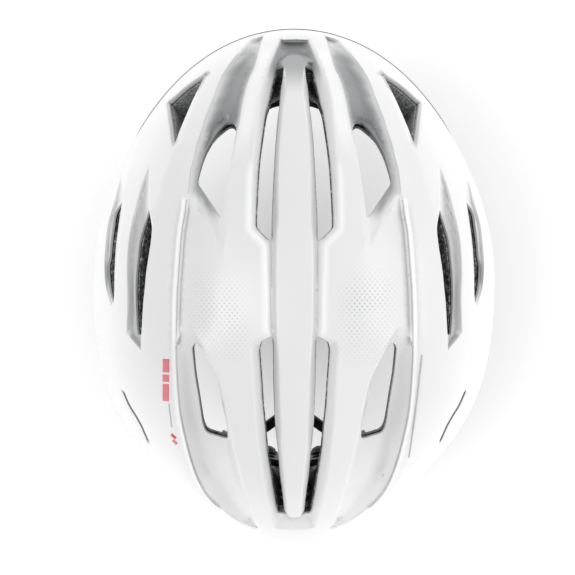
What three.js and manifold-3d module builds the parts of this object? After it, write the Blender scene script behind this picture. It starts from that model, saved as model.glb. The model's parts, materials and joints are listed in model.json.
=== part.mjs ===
// Cycling helmet: vented shell over a foam liner, with fit pads, a dial-adjusted head retention system and chin straps.
// Millimetres, +Z up, front of the helmet towards -Y, wearer's left towards +X. Origin at the centre of the head opening.
import * as THREE from 'three';
import { mergeVertices } from 'three/addons/utils/BufferGeometryUtils.js';
import Module from 'manifold-3d';

const wasm = await Module();
wasm.setup();

// ---- sizes ----
const CROWN_Z = 120;              // highest point of the shell
const SHELL_T = 1.2;              // shell thickness
const GAP = 0.3;                  // gap between touching pieces
const CAV = { x: 84, front: 108, rear: 104, z: 90, n: 2.2, drop: 70 };   // head cavity half sizes
const OUTLINE = [124.394, 0.011, 14.875, 0.51, 2.64, -0.625, 1.121, -0.733, 0.142];   // plan radius, cosine series
const EQUATOR = [6.815, 6.971, 3.296, 0.507];                            // height of the widest line
const TUCK = [7.759, -7.071, 3.185, -1.607];                             // how far the rim tucks in under the widest line
const RIM = [-22.037, 23.148, -1.947, 2.844, 1.562, -2.421, -0.599];     // rim height
const SPLIT = 0.34;               // share of the drop below the widest line where the two shells meet
const PIVOT = { x: 73.3, y: -45, z: 8 };                                 // temple pivots
const DIAL = { y: 108.4, z: -64, pitch: 4.5, teeth: 9, turn: 14 };       // pinion centre and tooth data

// ---- vent outlines on the left half, seen from above ----
const FRONT_VENT = [[9.7, -115.9], [13.9, -95.5], [16.0, -84.4], [18.4, -64.1], [19.7, -40.6], [19.7, -31.2], [14.3, -25.0], [11.4, -25.0], [11.4, -34.5], [10.2, -64.0], [8.4, -90.0], [7.0, -104.2]];
const REAR_VENT = [[17.1, 27.2], [18.0, 34.8], [16.5, 59.4], [14.6, 81.4], [12.8, 95.5], [9.3, 118.2], [3.4, 120.7], [6.3, 107.5], [8.3, 86.9], [9.9, 69.6], [10.7, 41.2], [11.7, 24.3]];
const FRONT_CHANNEL = [[30.2, -125.1], [34.8, -119.0], [42.1, -101.2], [46.8, -87.9], [50.6, -74.8], [53.7, -61.1], [55.0, -46.7], [50.1, -40.9], [45.2, -31.4], [40.4, -22.4], [36.5, -24.4], [36.2, -37.1], [33.8, -57.0], [30.4, -74.2], [27.4, -90.6], [24.6, -105.4], [20.4, -117.0], [21.5, -120.0]];
const FRONT_CHANNEL_HOLE = [[33.8, -86.6], [38.9, -82.9], [44.3, -74.4], [48.2, -63.7], [50.0, -54.0], [43.1, -43.7], [38.0, -36.0], [35.2, -47.9], [32.5, -66.1], [30.1, -82.5]];
const REAR_CHANNEL = [[61.3, 31.0], [60.6, 55.0], [58.4, 74.6], [55.0, 91.7], [50.7, 105.3], [44.4, 115.6], [40.3, 118.5], [30.4, 124.0], [23.2, 121.5], [25.3, 110.7], [29.4, 91.2], [32.8, 74.4], [36.6, 53.7], [40.8, 41.0], [47.4, 27.6], [54.9, 14.3]];
const REAR_CHANNEL_HOLE = [[51.6, 28.7], [52.4, 34.8], [50.5, 52.7], [48.3, 70.6], [45.0, 76.5], [36.1, 78.9], [35.1, 70.7], [38.9, 48.9], [45.9, 33.1]];
const BROW_VENT = [[46.8, -115.1], [59.7, -107.5], [69.0, -100.4], [64.3, -76.0], [62.1, -76.7], [56.3, -92.4], [50.6, -106.2]];
const SIDE_RECESS = [[75.9, -65.5], [80.3, -54.6], [83.7, -40.9], [86.8, -26.0], [87.8, -6.8], [88.2, 24.2], [79.6, 33.2], [78.4, 7.9], [76.7, -7.9], [74.3, -23.8], [73.2, -33.7], [75.5, -55.6]];
const SIDE_HOLE = [[77.9, -34.6], [81.1, -23.5], [82.7, -8.0], [82.9, 11.4], [82.0, 24.6], [79.5, 24.2], [78.4, 7.9], [76.7, -7.9], [74.3, -23.8]];
const OUTER_SLOT = [[91.4, -45.9], [93.3, -33.2], [94.9, -15.7], [95.2, 2.0], [95.7, 8.1], [99.4, -6.1], [98.6, -16.3], [97.1, -32.6]];
const MID_GROOVE = [[9.2, -21], [15.2, -21], [14.8, 20.5], [9.2, 20.5]];
const CENTRE_TRAY = [[4.5, -128], [8.5, -134], [15, -119], [19.8, -100], [21.6, -78], [22.6, -60], [23.2, -47], [23.2, -30], [15.6, -22.4], [9.0, -22.4], [8, -34.5], [7.8, -64], [6.2, -86], [4.6, -104]];
const REAR_TRAY = [[9, 24], [17.8, 25.4], [22.4, 29], [21.6, 48], [20.5, 67.7], [19.4, 79.2], [17.8, 93.2], [16.1, 105.3], [13.9, 115.2], [12.2, 124], [4.0, 122], [5.6, 107], [7.2, 90], [8.4, 78], [9.1, 55], [9.4, 38]];

// ---- small tools ----
const series = (c, a) => c.reduce((s, v, k) => s + v * Math.cos(k * a), 0);
const v3 = (x, y, z) => new THREE.Vector3(x, y, z);

// outer surface: u 0..1 from the crown to the widest line, 1..2 on to the rim
function shellPoint(a, u) {
  const R = series(OUTLINE, a), ze = series(EQUATOR, a);
  if (u <= 1) {
    const q = Math.sin(u * Math.PI / 2), n = 2.175 + 0.05 * Math.cos(a) - 0.125 * Math.cos(2 * a);
    return v3(R * q * Math.sin(a), -R * q * Math.cos(a), ze + (CROWN_Z - ze) * Math.pow(Math.max(1 - Math.pow(q, n), 0), 1 / n));
  }
  const t = u - 1, r = R - series(TUCK, a) * t * t;
  return v3(r * Math.sin(a), -r * Math.cos(a), ze - (ze - series(RIM, a)) * t);
}
// inner surface of the head opening: u 0..1 from its top to its widest line, 1..2 straight down
function cavityPoint(a, u) {
  const depth = Math.cos(a) > 0 ? CAV.front : CAV.rear;
  const r = 1 / Math.hypot(Math.sin(a) / CAV.x, Math.cos(a) / depth);
  const q = u <= 1 ? Math.sin(u * Math.PI / 2) : 1;
  const z = u <= 1 ? CAV.z * Math.pow(Math.max(1 - Math.pow(q, CAV.n), 0), 1 / CAV.n) : -(u - 1) * CAV.drop;
  return v3(r * q * Math.sin(a), -r * q * Math.cos(a), z);
}
function normalOf(f, a, u) {
  if (u < 1e-6) return v3(0, 0, 1);
  const e = 1e-3, u0 = Math.max(u - e, u > 1 ? 1 + 1e-9 : 1e-4), u1 = u < 1 ? Math.min(u + e, 0.9999) : u + e;
  const da = f(a + e, u).sub(f(a - e, u)), du = f(a, Math.max(u1, u0 + 1e-5)).sub(f(a, u0));
  return da.cross(du).normalize().multiplyScalar(-1);
}
const outward = (f, a, u) => { const n = normalOf(f, a, u), p = f(a, u); return n.dot(v3(p.x, p.y, Math.max(p.z, 0) + 1e-3)) < 0 ? n.negate() : n; };
const inset = (f, a, u, off) => f(a, u).addScaledVector(outward(f, a, u), -off);
const cavityZ = (x, y) => {
  const q = Math.hypot(x / CAV.x, y / (y < 0 ? CAV.front : CAV.rear));
  return CAV.z * Math.pow(Math.max(1 - Math.pow(q, CAV.n), 0), 1 / CAV.n);
};

function geo(verts, tris) {
  const g = new THREE.BufferGeometry();
  g.setAttribute('position', new THREE.Float32BufferAttribute(verts.flatMap(p => [p.x, p.y, p.z]), 3));
  g.setIndex(tris.flat());
  return g;
}
function solid(g) {
  const c = g.clone();
  c.deleteAttribute('normal'); c.deleteAttribute('uv');
  const m = mergeVertices(c, 1e-4);
  return new wasm.Manifold(new wasm.Mesh({ numProp: 3, vertProperties: new Float32Array(m.attributes.position.array), triVerts: new Uint32Array(m.index.array) }));
}
function geometryOf(m) {
  const s = m.getMesh(), g = new THREE.BufferGeometry();
  const pos = new Float32Array(s.numVert * 3);
  for (let i = 0; i < s.numVert; i++) for (let k = 0; k < 3; k++) pos[3 * i + k] = s.vertProperties[i * s.numProp + k];
  g.setAttribute('position', new THREE.BufferAttribute(pos, 3));
  g.setIndex(new THREE.BufferAttribute(new Uint32Array(s.triVerts), 1));
  g.computeVertexNormals();
  return g;
}
const largest = m => m.decompose().sort((p, q) => q.volume() - p.volume())[0];
function place(g, { rx = 0, ry = 0, rz = 0, x = 0, y = 0, z = 0 } = {}) {
  return g.rotateX(rx).rotateY(ry).rotateZ(rz).translate(x, y, z);
}
const box = (x0, x1, y0, y1, z0, z1) => solid(new THREE.BoxGeometry(x1 - x0, y1 - y0, z1 - z0).translate((x0 + x1) / 2, (y0 + y1) / 2, (z0 + z1) / 2));
const boxAt = (w, d, h, t) => solid(place(new THREE.BoxGeometry(w, d, h), t));
const rod = (r, from, to, axis, x, y, z, seg = 24) => {           // cylinder between two coordinates on an axis
  const g = new THREE.CylinderGeometry(r, r, to - from, seg);
  if (axis === 'x') g.rotateZ(Math.PI / 2).translate((from + to) / 2, y, z);
  if (axis === 'y') g.translate(x, (from + to) / 2, z);
  if (axis === 'z') g.rotateX(Math.PI / 2).translate(x, y, (from + to) / 2);
  return solid(g);
};
const mirrored = poly => poly.map(([x, y]) => [-x, y]).reverse();
function prism(poly, z0, z1) {
  const s = new THREE.Shape(poly.map(([x, y]) => new THREE.Vector2(x, y)));
  return solid(new THREE.ExtrudeGeometry(s, { depth: z1 - z0, bevelEnabled: false }).translate(0, 0, z0));
}
function grown(poly, d) {                                         // outline moved outwards by d
  const area = poly.reduce((s, p, i) => { const q = poly[(i + 1) % poly.length]; return s + p[0] * q[1] - q[0] * p[1]; }, 0);
  const w = area > 0 ? 1 : -1, n = poly.length;
  return poly.map((p, i) => {
    const a = poly[(i + n - 1) % n], b = poly[(i + 1) % n];
    const e1 = new THREE.Vector2(p[0] - a[0], p[1] - a[1]).normalize(), e2 = new THREE.Vector2(b[0] - p[0], b[1] - p[1]).normalize();
    const n1 = new THREE.Vector2(e1.y * w, -e1.x * w), n2 = new THREE.Vector2(e2.y * w, -e2.x * w);
    const m = n1.clone().add(n2).normalize(), k = Math.min(1 / Math.max(m.dot(n1), 0.4), 2);
    return [p[0] + m.x * d * k, p[1] + m.y * d * k];
  });
}
// closed solid between two point grids; wrap joins the first and last rows
function slab(outer, inner, ni, nj, wrap = false) {
  const V = [], T = [], at = (i, j, k) => ((wrap ? i % ni : i) * (nj + 1) + j) * 2 + k;
  const rows = wrap ? ni : ni + 1;
  for (let i = 0; i < rows; i++) for (let j = 0; j <= nj; j++) V.push(outer(i / ni, j / nj), inner(i / ni, j / nj));
  const quad = (a, b, c, d) => T.push([a, b, c], [a, c, d]);
  for (let i = 0; i < ni; i++) for (let j = 0; j < nj; j++) {
    quad(at(i, j, 0), at(i + 1, j, 0), at(i + 1, j + 1, 0), at(i, j + 1, 0));
    quad(at(i, j, 1), at(i, j + 1, 1), at(i + 1, j + 1, 1), at(i + 1, j, 1));
  }
  for (let i = 0; i < ni; i++) {
    quad(at(i, 0, 0), at(i, 0, 1), at(i + 1, 0, 1), at(i + 1, 0, 0));
    quad(at(i, nj, 0), at(i + 1, nj, 0), at(i + 1, nj, 1), at(i, nj, 1));
  }
  if (!wrap) for (let j = 0; j < nj; j++) {
    quad(at(0, j, 0), at(0, j + 1, 0), at(0, j + 1, 1), at(0, j, 1));
    quad(at(ni, j, 0), at(ni, j, 1), at(ni, j + 1, 1), at(ni, j + 1, 0));
  }
  return upright(geo(V, T));
}
function upright(g) {                                             // turn the faces outwards when they point in
  const p = g.attributes.position, ix = g.index.array;
  let vol = 0;
  const a = v3(), b = v3(), c = v3();
  for (let i = 0; i < ix.length; i += 3) { a.fromBufferAttribute(p, ix[i]); b.fromBufferAttribute(p, ix[i + 1]); c.fromBufferAttribute(p, ix[i + 2]); vol += a.dot(b.cross(c)); }
  if (vol < 0) for (let i = 0; i < ix.length; i += 3) { const t = ix[i + 1]; ix[i + 1] = ix[i + 2]; ix[i + 2] = t; }
  return g;
}
// closed cap: rings from the pole down, then a floor fan
function cap(f, us, na, off, tail, floorZ) {
  const V = [f(0, 0).addScaledVector(v3(0, 0, 1), -off)], T = [];
  for (const u of us) for (let i = 0; i < na; i++) V.push(inset(f, i / na * 2 * Math.PI, u, off));
  let rings = us.length;
  if (tail) { for (let i = 0; i < na; i++) { const p = V[1 + (rings - 1) * na + i]; V.push(v3(p.x, p.y, p.z - tail)); } rings++; }
  const id = (r, i) => 1 + r * na + (i % na);
  for (let i = 0; i < na; i++) T.push([0, id(0, i), id(0, i + 1)]);
  for (let r = 0; r < rings - 1; r++) for (let i = 0; i < na; i++) T.push([id(r, i), id(r + 1, i), id(r + 1, i + 1)], [id(r, i), id(r + 1, i + 1), id(r, i + 1)]);
  V.push(v3(0, 0, floorZ));
  for (let i = 0; i < na; i++) T.push([V.length - 1, id(rings - 1, i + 1), id(rings - 1, i)]);
  return solid(upright(geo(V, T)));
}
// flat band along a path: each station is [x, y, z, wx, wy, wz] with the width direction
function ribbon(stations, w, t) {
  const C = stations.map(s => v3(s[0], s[1], s[2])), V = [], T = [], n = C.length;
  C.forEach((c, i) => {
    const tan = C[Math.min(i + 1, n - 1)].clone().sub(C[Math.max(i - 1, 0)]).normalize();
    const wd = v3(stations[i][3], stations[i][4], stations[i][5]);
    wd.addScaledVector(tan, -wd.dot(tan)).normalize();
    if (i === 0 || i === n - 1) wd.copy(v3(stations[i][3], stations[i][4], stations[i][5]).normalize());
    const nn = tan.clone().cross(wd).normalize();
    for (const [p, q] of [[-1, -1], [1, -1], [1, 1], [-1, 1]]) V.push(c.clone().addScaledVector(wd, p * w / 2).addScaledVector(nn, q * t / 2));
  });
  for (let i = 0; i < n - 1; i++) for (let k = 0; k < 4; k++) {
    const a = 4 * i + k, b = 4 * i + (k + 1) % 4;
    T.push([a, b, b + 4], [a, b + 4, a + 4]);
  }
  T.push([0, 2, 1], [0, 3, 2], [4 * n - 4, 4 * n - 3, 4 * n - 2], [4 * n - 4, 4 * n - 2, 4 * n - 1]);
  return upright(geo(V, T));
}
// slanted tunnel through an outline laid on the outer surface
function tunnel(poly, dir, back, fwd) {
  const d = v3(...dir).normalize(), n = poly.length, V = [], T = [];
  const lift = poly.map(([x, y]) => { let a = Math.atan2(x, -y), q = Math.min(Math.hypot(x, y) / series(OUTLINE, a), 1); return shellPoint(a, Math.asin(q) / (Math.PI / 2)); });
  for (const p of lift) V.push(p.clone().addScaledVector(d, -back));
  for (const p of lift) V.push(p.clone().addScaledVector(d, fwd));
  const tri = THREE.ShapeUtils.triangulateShape(poly.map(([x, y]) => new THREE.Vector2(x, y)), []);
  for (const [a, b, c] of tri) T.push([a, b, c], [a + n, c + n, b + n]);
  const area = poly.reduce((s, p, i) => { const q = poly[(i + 1) % n]; return s + p[0] * q[1] - q[0] * p[1]; }, 0);
  for (let i = 0; i < n; i++) { const j = (i + 1) % n; area > 0 ? T.push([i, i + n, j + n], [i, j + n, j]) : T.push([i, j + n, i + n], [i, j, j + n]); }
  return solid(upright(geo(V, T)));
}

const helmet = new THREE.Group();
const looks = {
  shell: [0xf4f5f6, 0.35], lower: [0xe4e6e8, 0.45], foam: [0x2b2c2e, 0.9], pad: [0x1c1c1e, 1.0], hook: [0x101011, 0.95],
  plastic: [0x17181a, 0.5], dial: [0x202124, 0.45], webbing: [0x1a1a1c, 0.9], rubber: [0x121213, 0.8], metal: [0xb8bcc0, 0.3, 1],
};
function add(name, shape, look) {
  const [color, roughness, metalness = 0] = looks[look];
  const g = shape.isBufferGeometry ? shape : geometryOf(shape);
  const m = new THREE.Mesh(g, new THREE.MeshStandardMaterial({ color, roughness, metalness }));
  m.name = name;
  helmet.add(m);
  return m;
}
const both = make => { for (const [side, s] of [['left', 1], ['right', -1]]) make(side, s); };
const flip = m => m.mirror([1, 0, 0]);

// ---- shells and foam liner ----
const RINGS = [0.14, 0.28, 0.42, 0.55, 0.67, 0.78, 0.88, 0.95, 1];
const NA = 44;
const dome = (off, end, tail = 0, floorZ = -15) => cap(shellPoint, [...RINGS, ...[0.34, 0.67, 1].filter(t => t <= end + 1e-6).map(t => 1 + t)], NA, off, tail, floorZ);

const channels = [
  [FRONT_CHANNEL, 11], [REAR_CHANNEL, 8], [SIDE_RECESS, 5], [CENTRE_TRAY, 4.5], [REAR_TRAY, 4.5], [MID_GROOVE, 4],
];
function carve(off, end, tail) {
  let m = dome(off, end, tail, tail ? -140 : end < 1 ? 25 : -15);
  for (const [poly, depth] of channels) {
    const core = dome(off + depth, 1, 0);
    const wide = off > 0 ? grown(poly, off) : poly;
    const cut = prism(wide, 5, 140).subtract(core);
    m = m.subtract(cut).subtract(flip(cut));
  }
  return m;
}
const holes = [FRONT_VENT, REAR_VENT, FRONT_CHANNEL_HOLE, REAR_CHANNEL_HOLE, SIDE_HOLE, OUTER_SLOT, BROW_VENT];
let skin = carve(0, SPLIT, 0).subtract(carve(SHELL_T, SPLIT, 80));
for (const h of holes) { const p = prism(h, h === OUTER_SLOT || h === SIDE_HOLE ? 12 : -90, 140); skin = skin.subtract(p).subtract(flip(p)); }
add('outer_shell', largest(skin), 'shell');

const ringU = [1 + SPLIT + 0.02, 1.56, 1.78, 2];
add('lower_shell', slab(
  (i, j) => shellPoint(i * 2 * Math.PI, ringU[Math.round(j * 3)]),
  (i, j) => inset(shellPoint, i * 2 * Math.PI, ringU[Math.round(j * 3)], SHELL_T), NA, 3, true), 'lower');

const cavity = cap(cavityPoint, [0.12, 0.25, 0.38, 0.5, 0.62, 0.74, 0.85, 0.94, 1, 2], 48, -0.7, 0, -80);
const column = prism(Array.from({ length: 48 }, (_, i) => { const p = cavityPoint(i / 48 * 2 * Math.PI, 1); return [p.x * 0.985, p.y * 0.985]; }), -60, 140);
let foam = carve(SHELL_T + GAP, 1, 0).subtract(cavity);
const deep = dome(24, 1, 0);
for (const h of [FRONT_VENT, REAR_VENT, FRONT_CHANNEL_HOLE, REAR_CHANNEL_HOLE]) {
  const p = prism(grown(h, -0.6), -90, 140), rear = h === REAR_VENT;
  const cut = rear ? p : p.intersect(column).add(p.subtract(deep));
  foam = foam.subtract(cut).subtract(flip(cut));
}
for (const [h, dir] of [[grown(SIDE_HOLE, -0.6), [-0.8, 0, -0.6]], [grown(OUTER_SLOT, -0.4), [-0.86, 0, -0.5]], [grown(BROW_VENT, -0.8), [-0.35, 0.72, -0.6]]]) {
  const t = tunnel(h, dir, 16, 52);
  foam = foam.subtract(t).subtract(flip(t));
}

// ---- pieces set into the foam ----
const frontAnchor = { x: 89, y: -42, z: -9.6, r: 0 }, rearAnchor = { x: 65.1, y: 73, z: -39.4, r: Math.atan2(73, 65.1) };
for (const a of [frontAnchor, rearAnchor]) {
  const pocket = boxAt(4.8, 17.6, 30, { rz: a.r, x: a.x, y: a.y, z: a.z + 6.8 - 15 });
  foam = foam.subtract(pocket).subtract(flip(pocket));
}
both((side, s) => {
  for (const [name, a] of [['front', frontAnchor], ['rear', rearAnchor]]) {
    const m = boxAt(4.2, 17, 6.5, { rz: a.r, x: a.x, y: a.y, z: a.z + 3.25 });
    add(`strap_anchor_${name}_${side}`, s > 0 ? m : flip(m), 'plastic');
  }
});
const pivotPocket = rod(8, 66, 80, 'x', 0, PIVOT.y, PIVOT.z);
foam = foam.subtract(pivotPocket).subtract(flip(pivotPocket));
both((side, s) => {
  const m = rod(7.6, 76.6, 79.7, 'x', 0, PIVOT.y, PIVOT.z).add(rod(2.5, 71, 77, 'x', 0, PIVOT.y, PIVOT.z)).add(rod(4.6, 70.2, 71.9, 'x', 0, PIVOT.y, PIVOT.z));
  add(`temple_anchor_${side}`, s > 0 ? m : flip(m), 'plastic');
});
const onCavity = (a0, a1, u0, u1, o0, o1, na, nu) => slab(
  (i, j) => inset(cavityPoint, a0 + (a1 - a0) * i, u0 + (u1 - u0) * j, o0),
  (i, j) => inset(cavityPoint, a0 + (a1 - a0) * i, u0 + (u1 - u0) * j, o1), na, nu);
const rad = d => d * Math.PI / 180;
foam = foam.subtract(solid(onCavity(rad(175), rad(185), 0.395, 0.485, -2.3, 4, 3, 3)));
add('yoke_anchor', onCavity(rad(175.3), rad(184.7), 0.399, 0.481, -2, 0.8, 3, 3), 'plastic');
add('eps_liner', largest(foam), 'foam');

// ---- pads and the hook discs that hold them ----
const onTop = (x0, x1, y0, y1, o0, o1, nx, ny) => slab(
  (i, j) => { const x = x0 + (x1 - x0) * i, y = y0 + (y1 - y0) * j; return v3(x, y, cavityZ(x, y) - o0); },
  (i, j) => { const x = x0 + (x1 - x0) * i, y = y0 + (y1 - y0) * j; return v3(x, y, cavityZ(x, y) - o1); }, nx, ny);
add('brow_pad', onCavity(rad(-48), rad(48), 0.885, 0.985, 1.7, 7.0, 16, 3), 'pad');
add('crown_pad_centre', onTop(-26, 26, -19, 19, 1.9, 7.5, 8, 6), 'pad');
both((side, s) => {
  const x0 = s > 0 ? 31 : -58, x1 = s > 0 ? 58 : -31, m = (p, q) => s > 0 ? [rad(p), rad(q)] : [rad(-q), rad(-p)];
  add(`crown_pad_${side}`, onTop(x0, x1, -20, 18, 2.2, 8, 5, 6), 'pad');
  add(`side_pad_${side}`, onCavity(...m(72, 118), 0.58, 0.78, 1.7, 7.2, 8, 4), 'pad');
  add(`crown_disc_${side}`, onTop(s * 44 - 7, s * 44 + 7, -8, 6, 0.4, 1.7, 2, 2), 'hook');
  add(`side_disc_${side}`, onCavity(...m(88, 98), 0.63, 0.72, 0.3, 1.4, 2, 2), 'hook');
  add(`brow_disc_${side}`, onCavity(...m(28, 36), 0.9, 0.97, 0.3, 1.4, 2, 2), 'hook');
});
add('crown_disc_centre', onTop(-7, 7, -7, 7, 0.3, 1.6, 2, 2), 'hook');

// ---- head retention: bands, cradle, yoke ----
const bandPath = [[70, 4.0, 6.5], [85, 3.0, 4.5], [100, 2.5, 1], [115, 2.0, -5], [130, 1.8, -14], [145, 1.6, -25], [154, 1.5, -33], [163, 1.5, -40]];
both((side, s) => {
  const st = [[PIVOT.x, PIVOT.y, PIVOT.z, 0, 0, 1], [PIVOT.x + 0.5, PIVOT.y + 7, PIVOT.z - 0.5, 0, 0, 1]];
  for (const [deg, off, z] of bandPath) { const p = inset(cavityPoint, rad(deg), 1 - z / CAV.drop > 1 ? 1 - z / CAV.drop : 1.001, off); st.push([p.x, p.y, z, 0, 0, 1]); }
  let m = solid(ribbon(st, 10, 1.6)).add(rod(6.5, PIVOT.x - 0.8, PIVOT.x + 0.8, 'x', 0, PIVOT.y, PIVOT.z));
  m = m.subtract(rod(2.8, 60, 90, 'x', 0, PIVOT.y, PIVOT.z));
  m = largest(m);
  add(`band_${side}`, s > 0 ? m : flip(m), 'plastic');
});
const uz = z => 1 - z / CAV.drop;
let cradle = solid(onCavity(rad(152), rad(208), uz(-16), uz(-76), 3.4, 5.6, 14, 6));
for (const a of [-1, 1]) cradle = cradle.subtract(boxAt(15, 30, 12, { x: a * 22, y: 97, z: -34 }));
add('cradle', cradle, 'plastic');
both((side, s) => {
  const m = (p, q) => s > 0 ? [rad(p), rad(q)] : [rad(-q), rad(-p)];
  add(`occipital_pad_${side}`, onCavity(...m(155, 174), uz(-46), uz(-68), 5.9, 9.4, 5, 3), 'pad');
});
const arm = s => {
  const st = [[180, 0.42], [174, 0.48], [168.5, 0.552], [164, 0.64], [161, 0.72], [158, 0.86], [157, 0.97], [156.5, 1.12], [156.5, uz(-15.6)]].map(([d, u]) => {
    const a = rad(d), p = inset(cavityPoint, a, u, 4.5), n = outward(cavityPoint, a, u);
    const next = cavityPoint(rad(d - 1), u + 0.02), tan = next.sub(cavityPoint(a, u)).normalize(), w = tan.clone().cross(n).normalize();
    return [p.x, p.y, p.z, w.x, w.y, w.z];
  });
  st[st.length - 1].splice(3, 3, st[st.length - 2][3], st[st.length - 2][4], 0);
  const m = solid(ribbon(st, 5, 2.2));
  return s > 0 ? m : flip(m);
};
add('yoke', largest(arm(1).add(arm(-1)).add(solid(onCavity(rad(174), rad(186), 0.40, 0.47, 3.4, 5.6, 4, 2)))), 'plastic');

// ---- dial drive: housing, cover, ratchet ring, pinion, racks, knob ----
const D = DIAL;
let housing = box(-27, 27, 101, 115, -77, -51).add(rod(13, 101, 115, 'y', 0, 0, D.z, 32));
housing = housing.subtract(box(-40, 40, 105.4, 111.4, -72.8, -55.2)).subtract(rod(6.4, 111, 116, 'y', 0, 0, D.z));
add('dial_housing', housing, 'plastic');
add('housing_cover', box(-20, 20, 115.3, 117.2, -76, -52).subtract(rod(2.6, 110, 120, 'y', 0, 0, D.z)), 'plastic');
const ringTeeth = 24, ringShape = new THREE.Shape(), ringHole = new THREE.Path();
ringShape.absarc(0, 0, 11.8, 0, 2 * Math.PI);
for (let i = 0; i < ringTeeth; i++) {
  const a0 = i / ringTeeth * 2 * Math.PI, a1 = (i + 0.5) / ringTeeth * 2 * Math.PI;
  const p = [10.4 * Math.cos(a0), 10.4 * Math.sin(a0)], q = [9.8 * Math.cos(a1), 9.8 * Math.sin(a1)];
  i === 0 ? ringHole.moveTo(...p) : ringHole.lineTo(...p);
  ringHole.lineTo(...q);
}
ringHole.closePath();
ringShape.holes.push(ringHole);
add('ratchet_ring', solid(new THREE.ExtrudeGeometry(ringShape, { depth: 2, bevelEnabled: false, curveSegments: 20 }).rotateX(Math.PI / 2).translate(0, 119.5, D.z)), 'plastic');

const gear = new THREE.Shape();
for (let i = 0; i < D.teeth; i++) {
  const c = Math.PI / 2 + i / D.teeth * 2 * Math.PI, pt = (r, w) => [r * Math.cos(c + w), r * Math.sin(c + w)];
  for (const [r, w] of [[3.5, -0.2], [4.5, -0.105], [5.3, -0.06], [5.3, 0.06], [4.5, 0.105], [3.5, 0.2]]) {
    const p = pt(r, w); (i === 0 && w === -0.2) ? gear.moveTo(...p) : gear.lineTo(...p);
  }
}
gear.closePath();
const pinion = solid(new THREE.ExtrudeGeometry(gear, { depth: 4.8, bevelEnabled: false }).rotateX(Math.PI / 2).translate(0, D.y + 2.4, D.z)).add(rod(2.2, D.y - 2.4, 126, 'y', 0, 0, D.z));
add('pinion', pinion, 'dial');
let pawl = rod(5, 117.6, 119.3, 'y', 0, 0, D.z);
for (let i = 0; i < 3; i++) pawl = pawl.add(boxAt(1.8, 1.7, 9.2, { y: 0, z: 4.6 }).rotate([0, i * 120, 0]).translate([0, 118.45, D.z]));
add('pawl_spring', pawl.subtract(rod(2.5, 110, 122, 'y', 0, 0, D.z)), 'dial');
const grip = new THREE.Shape();
for (let i = 0; i < 96; i++) { const a = i / 96 * 2 * Math.PI, r = 13 + 0.45 * Math.cos(24 * a); i === 0 ? grip.moveTo(r * Math.cos(a), r * Math.sin(a)) : grip.lineTo(r * Math.cos(a), r * Math.sin(a)); }
add('dial_knob', solid(new THREE.ExtrudeGeometry(grip, { depth: 10, bevelEnabled: false }).rotateX(Math.PI / 2).translate(0, 130, D.z)).subtract(rod(2.5, 119, 127, 'y', 0, 0, D.z)), 'dial');

const PITCH = Math.PI * 2 * D.pitch / D.teeth;
function rack(x0, x1, t0, t1, below) {                            // teeth point to the pinion; below = teeth upwards
  const s = new THREE.Shape(), k = below ? 1 : -1, pz = below ? D.z - D.pitch : D.z + D.pitch, phase = below ? 0 : 0.5;
  const pts = [[x0, pz - k * 3.6], [x0, pz - k * 1.05]];
  for (let i = Math.ceil(t0 / PITCH - phase); (i + phase) * PITCH <= t1; i++) {
    const c = (i + phase) * PITCH;
    pts.push([c - 0.75, pz - k * 1.05], [c - 0.3, pz + k * 0.75], [c + 0.3, pz + k * 0.75], [c + 0.75, pz - k * 1.05]);
  }
  pts.push([x1, pz - k * 1.05], [x1, pz - k * 3.6]);
  pts.forEach(([x, z], i) => i === 0 ? s.moveTo(x, z) : s.lineTo(x, z));
  s.closePath();
  return solid(new THREE.ExtrudeGeometry(s, { depth: 4.8, bevelEnabled: false }).rotateX(Math.PI / 2).translate(0, D.y + 2.4, 0));
}
add('rack_left', rack(-11, 34, -8, 22, false), 'plastic');
add('rack_right', rack(-34, 11, -22, 8, true), 'plastic');

// ---- straps, dividers, buckle ----
both((side, s) => {
  const put = (name, m, look) => add(`${name}_${side}`, s > 0 ? m : flip(m), look);
  put('front_strap', solid(ribbon([[89, -42, -9.9, 0, 1, 0], [88.5, -41.5, -18, 0, 1, 0], [85, -34, -34, 0, 0.9, 0.43], [78, -19, -54, 0, 0.82, 0.57], [72, -6.5, -66, 0, 0.95, 0.3], [70, -2.6, -71.7, 0, 1, 0]], 14.6, 1.6)), 'webbing');
  put('rear_strap', solid(ribbon([[65.1, 73, -39.7, -0.746, 0.665, 0], [65.3, 72, -46, -0.746, 0.665, 0], [66, 62, -54, -0.6, 0.6, -0.5], [67.8, 44, -63, -0.25, 0.45, -0.86], [69.3, 28, -72.5, 0, 0.3, -0.95], [70, 16.3, -79, 0, 0, -1]], 13.6, 1.6)), 'webbing');
  let body = box(67.4, 72.6, -11, 16, -86.5, -72).subtract(box(72.0, 74, -7, 12, -83.5, -75));
  body = body.add(box(71, 75.6, -10, -8, -77, -73.5)).add(box(71, 75.6, 13, 15, -77, -73.5));
  put('divider', body, 'plastic');
  put('divider_lever', box(73.4, 75.4, -7.6, 12.6, -84.5, -74.2).add(rod(0.9, -7.6, 12.6, 'y', 74.2, 0, -75.2, 12)), 'plastic');
  if (s > 0) put('chin_strap', solid(ribbon([[70, 3, -86.8, 0, 1, 0], [68.5, 2.4, -94, 0, 1, 0], [63, 1, -106, 0, 1, 0], [53, 0, -117, 0, 1, 0], [40, 0, -126, 0, 1, 0], [29, 0, -130.3, 0, 1, 0], [21.7, 0, -131, 0, 1, 0]], 14.6, 1.6)), 'webbing');
});
add('chin_strap_right', ribbon([[-70, 3, -86.8, 0, 1, 0], [-68.5, 2.2, -93, 0, 1, 0], [-62, 0, -102, 0, 1, 0], [-49, 0, -115, 0, 1, 0], [-36, 0, -128, 0, 1, 0], [-30.8, 0, -131, 0, 1, 0]], 14.6, 1.6), 'webbing');
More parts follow.
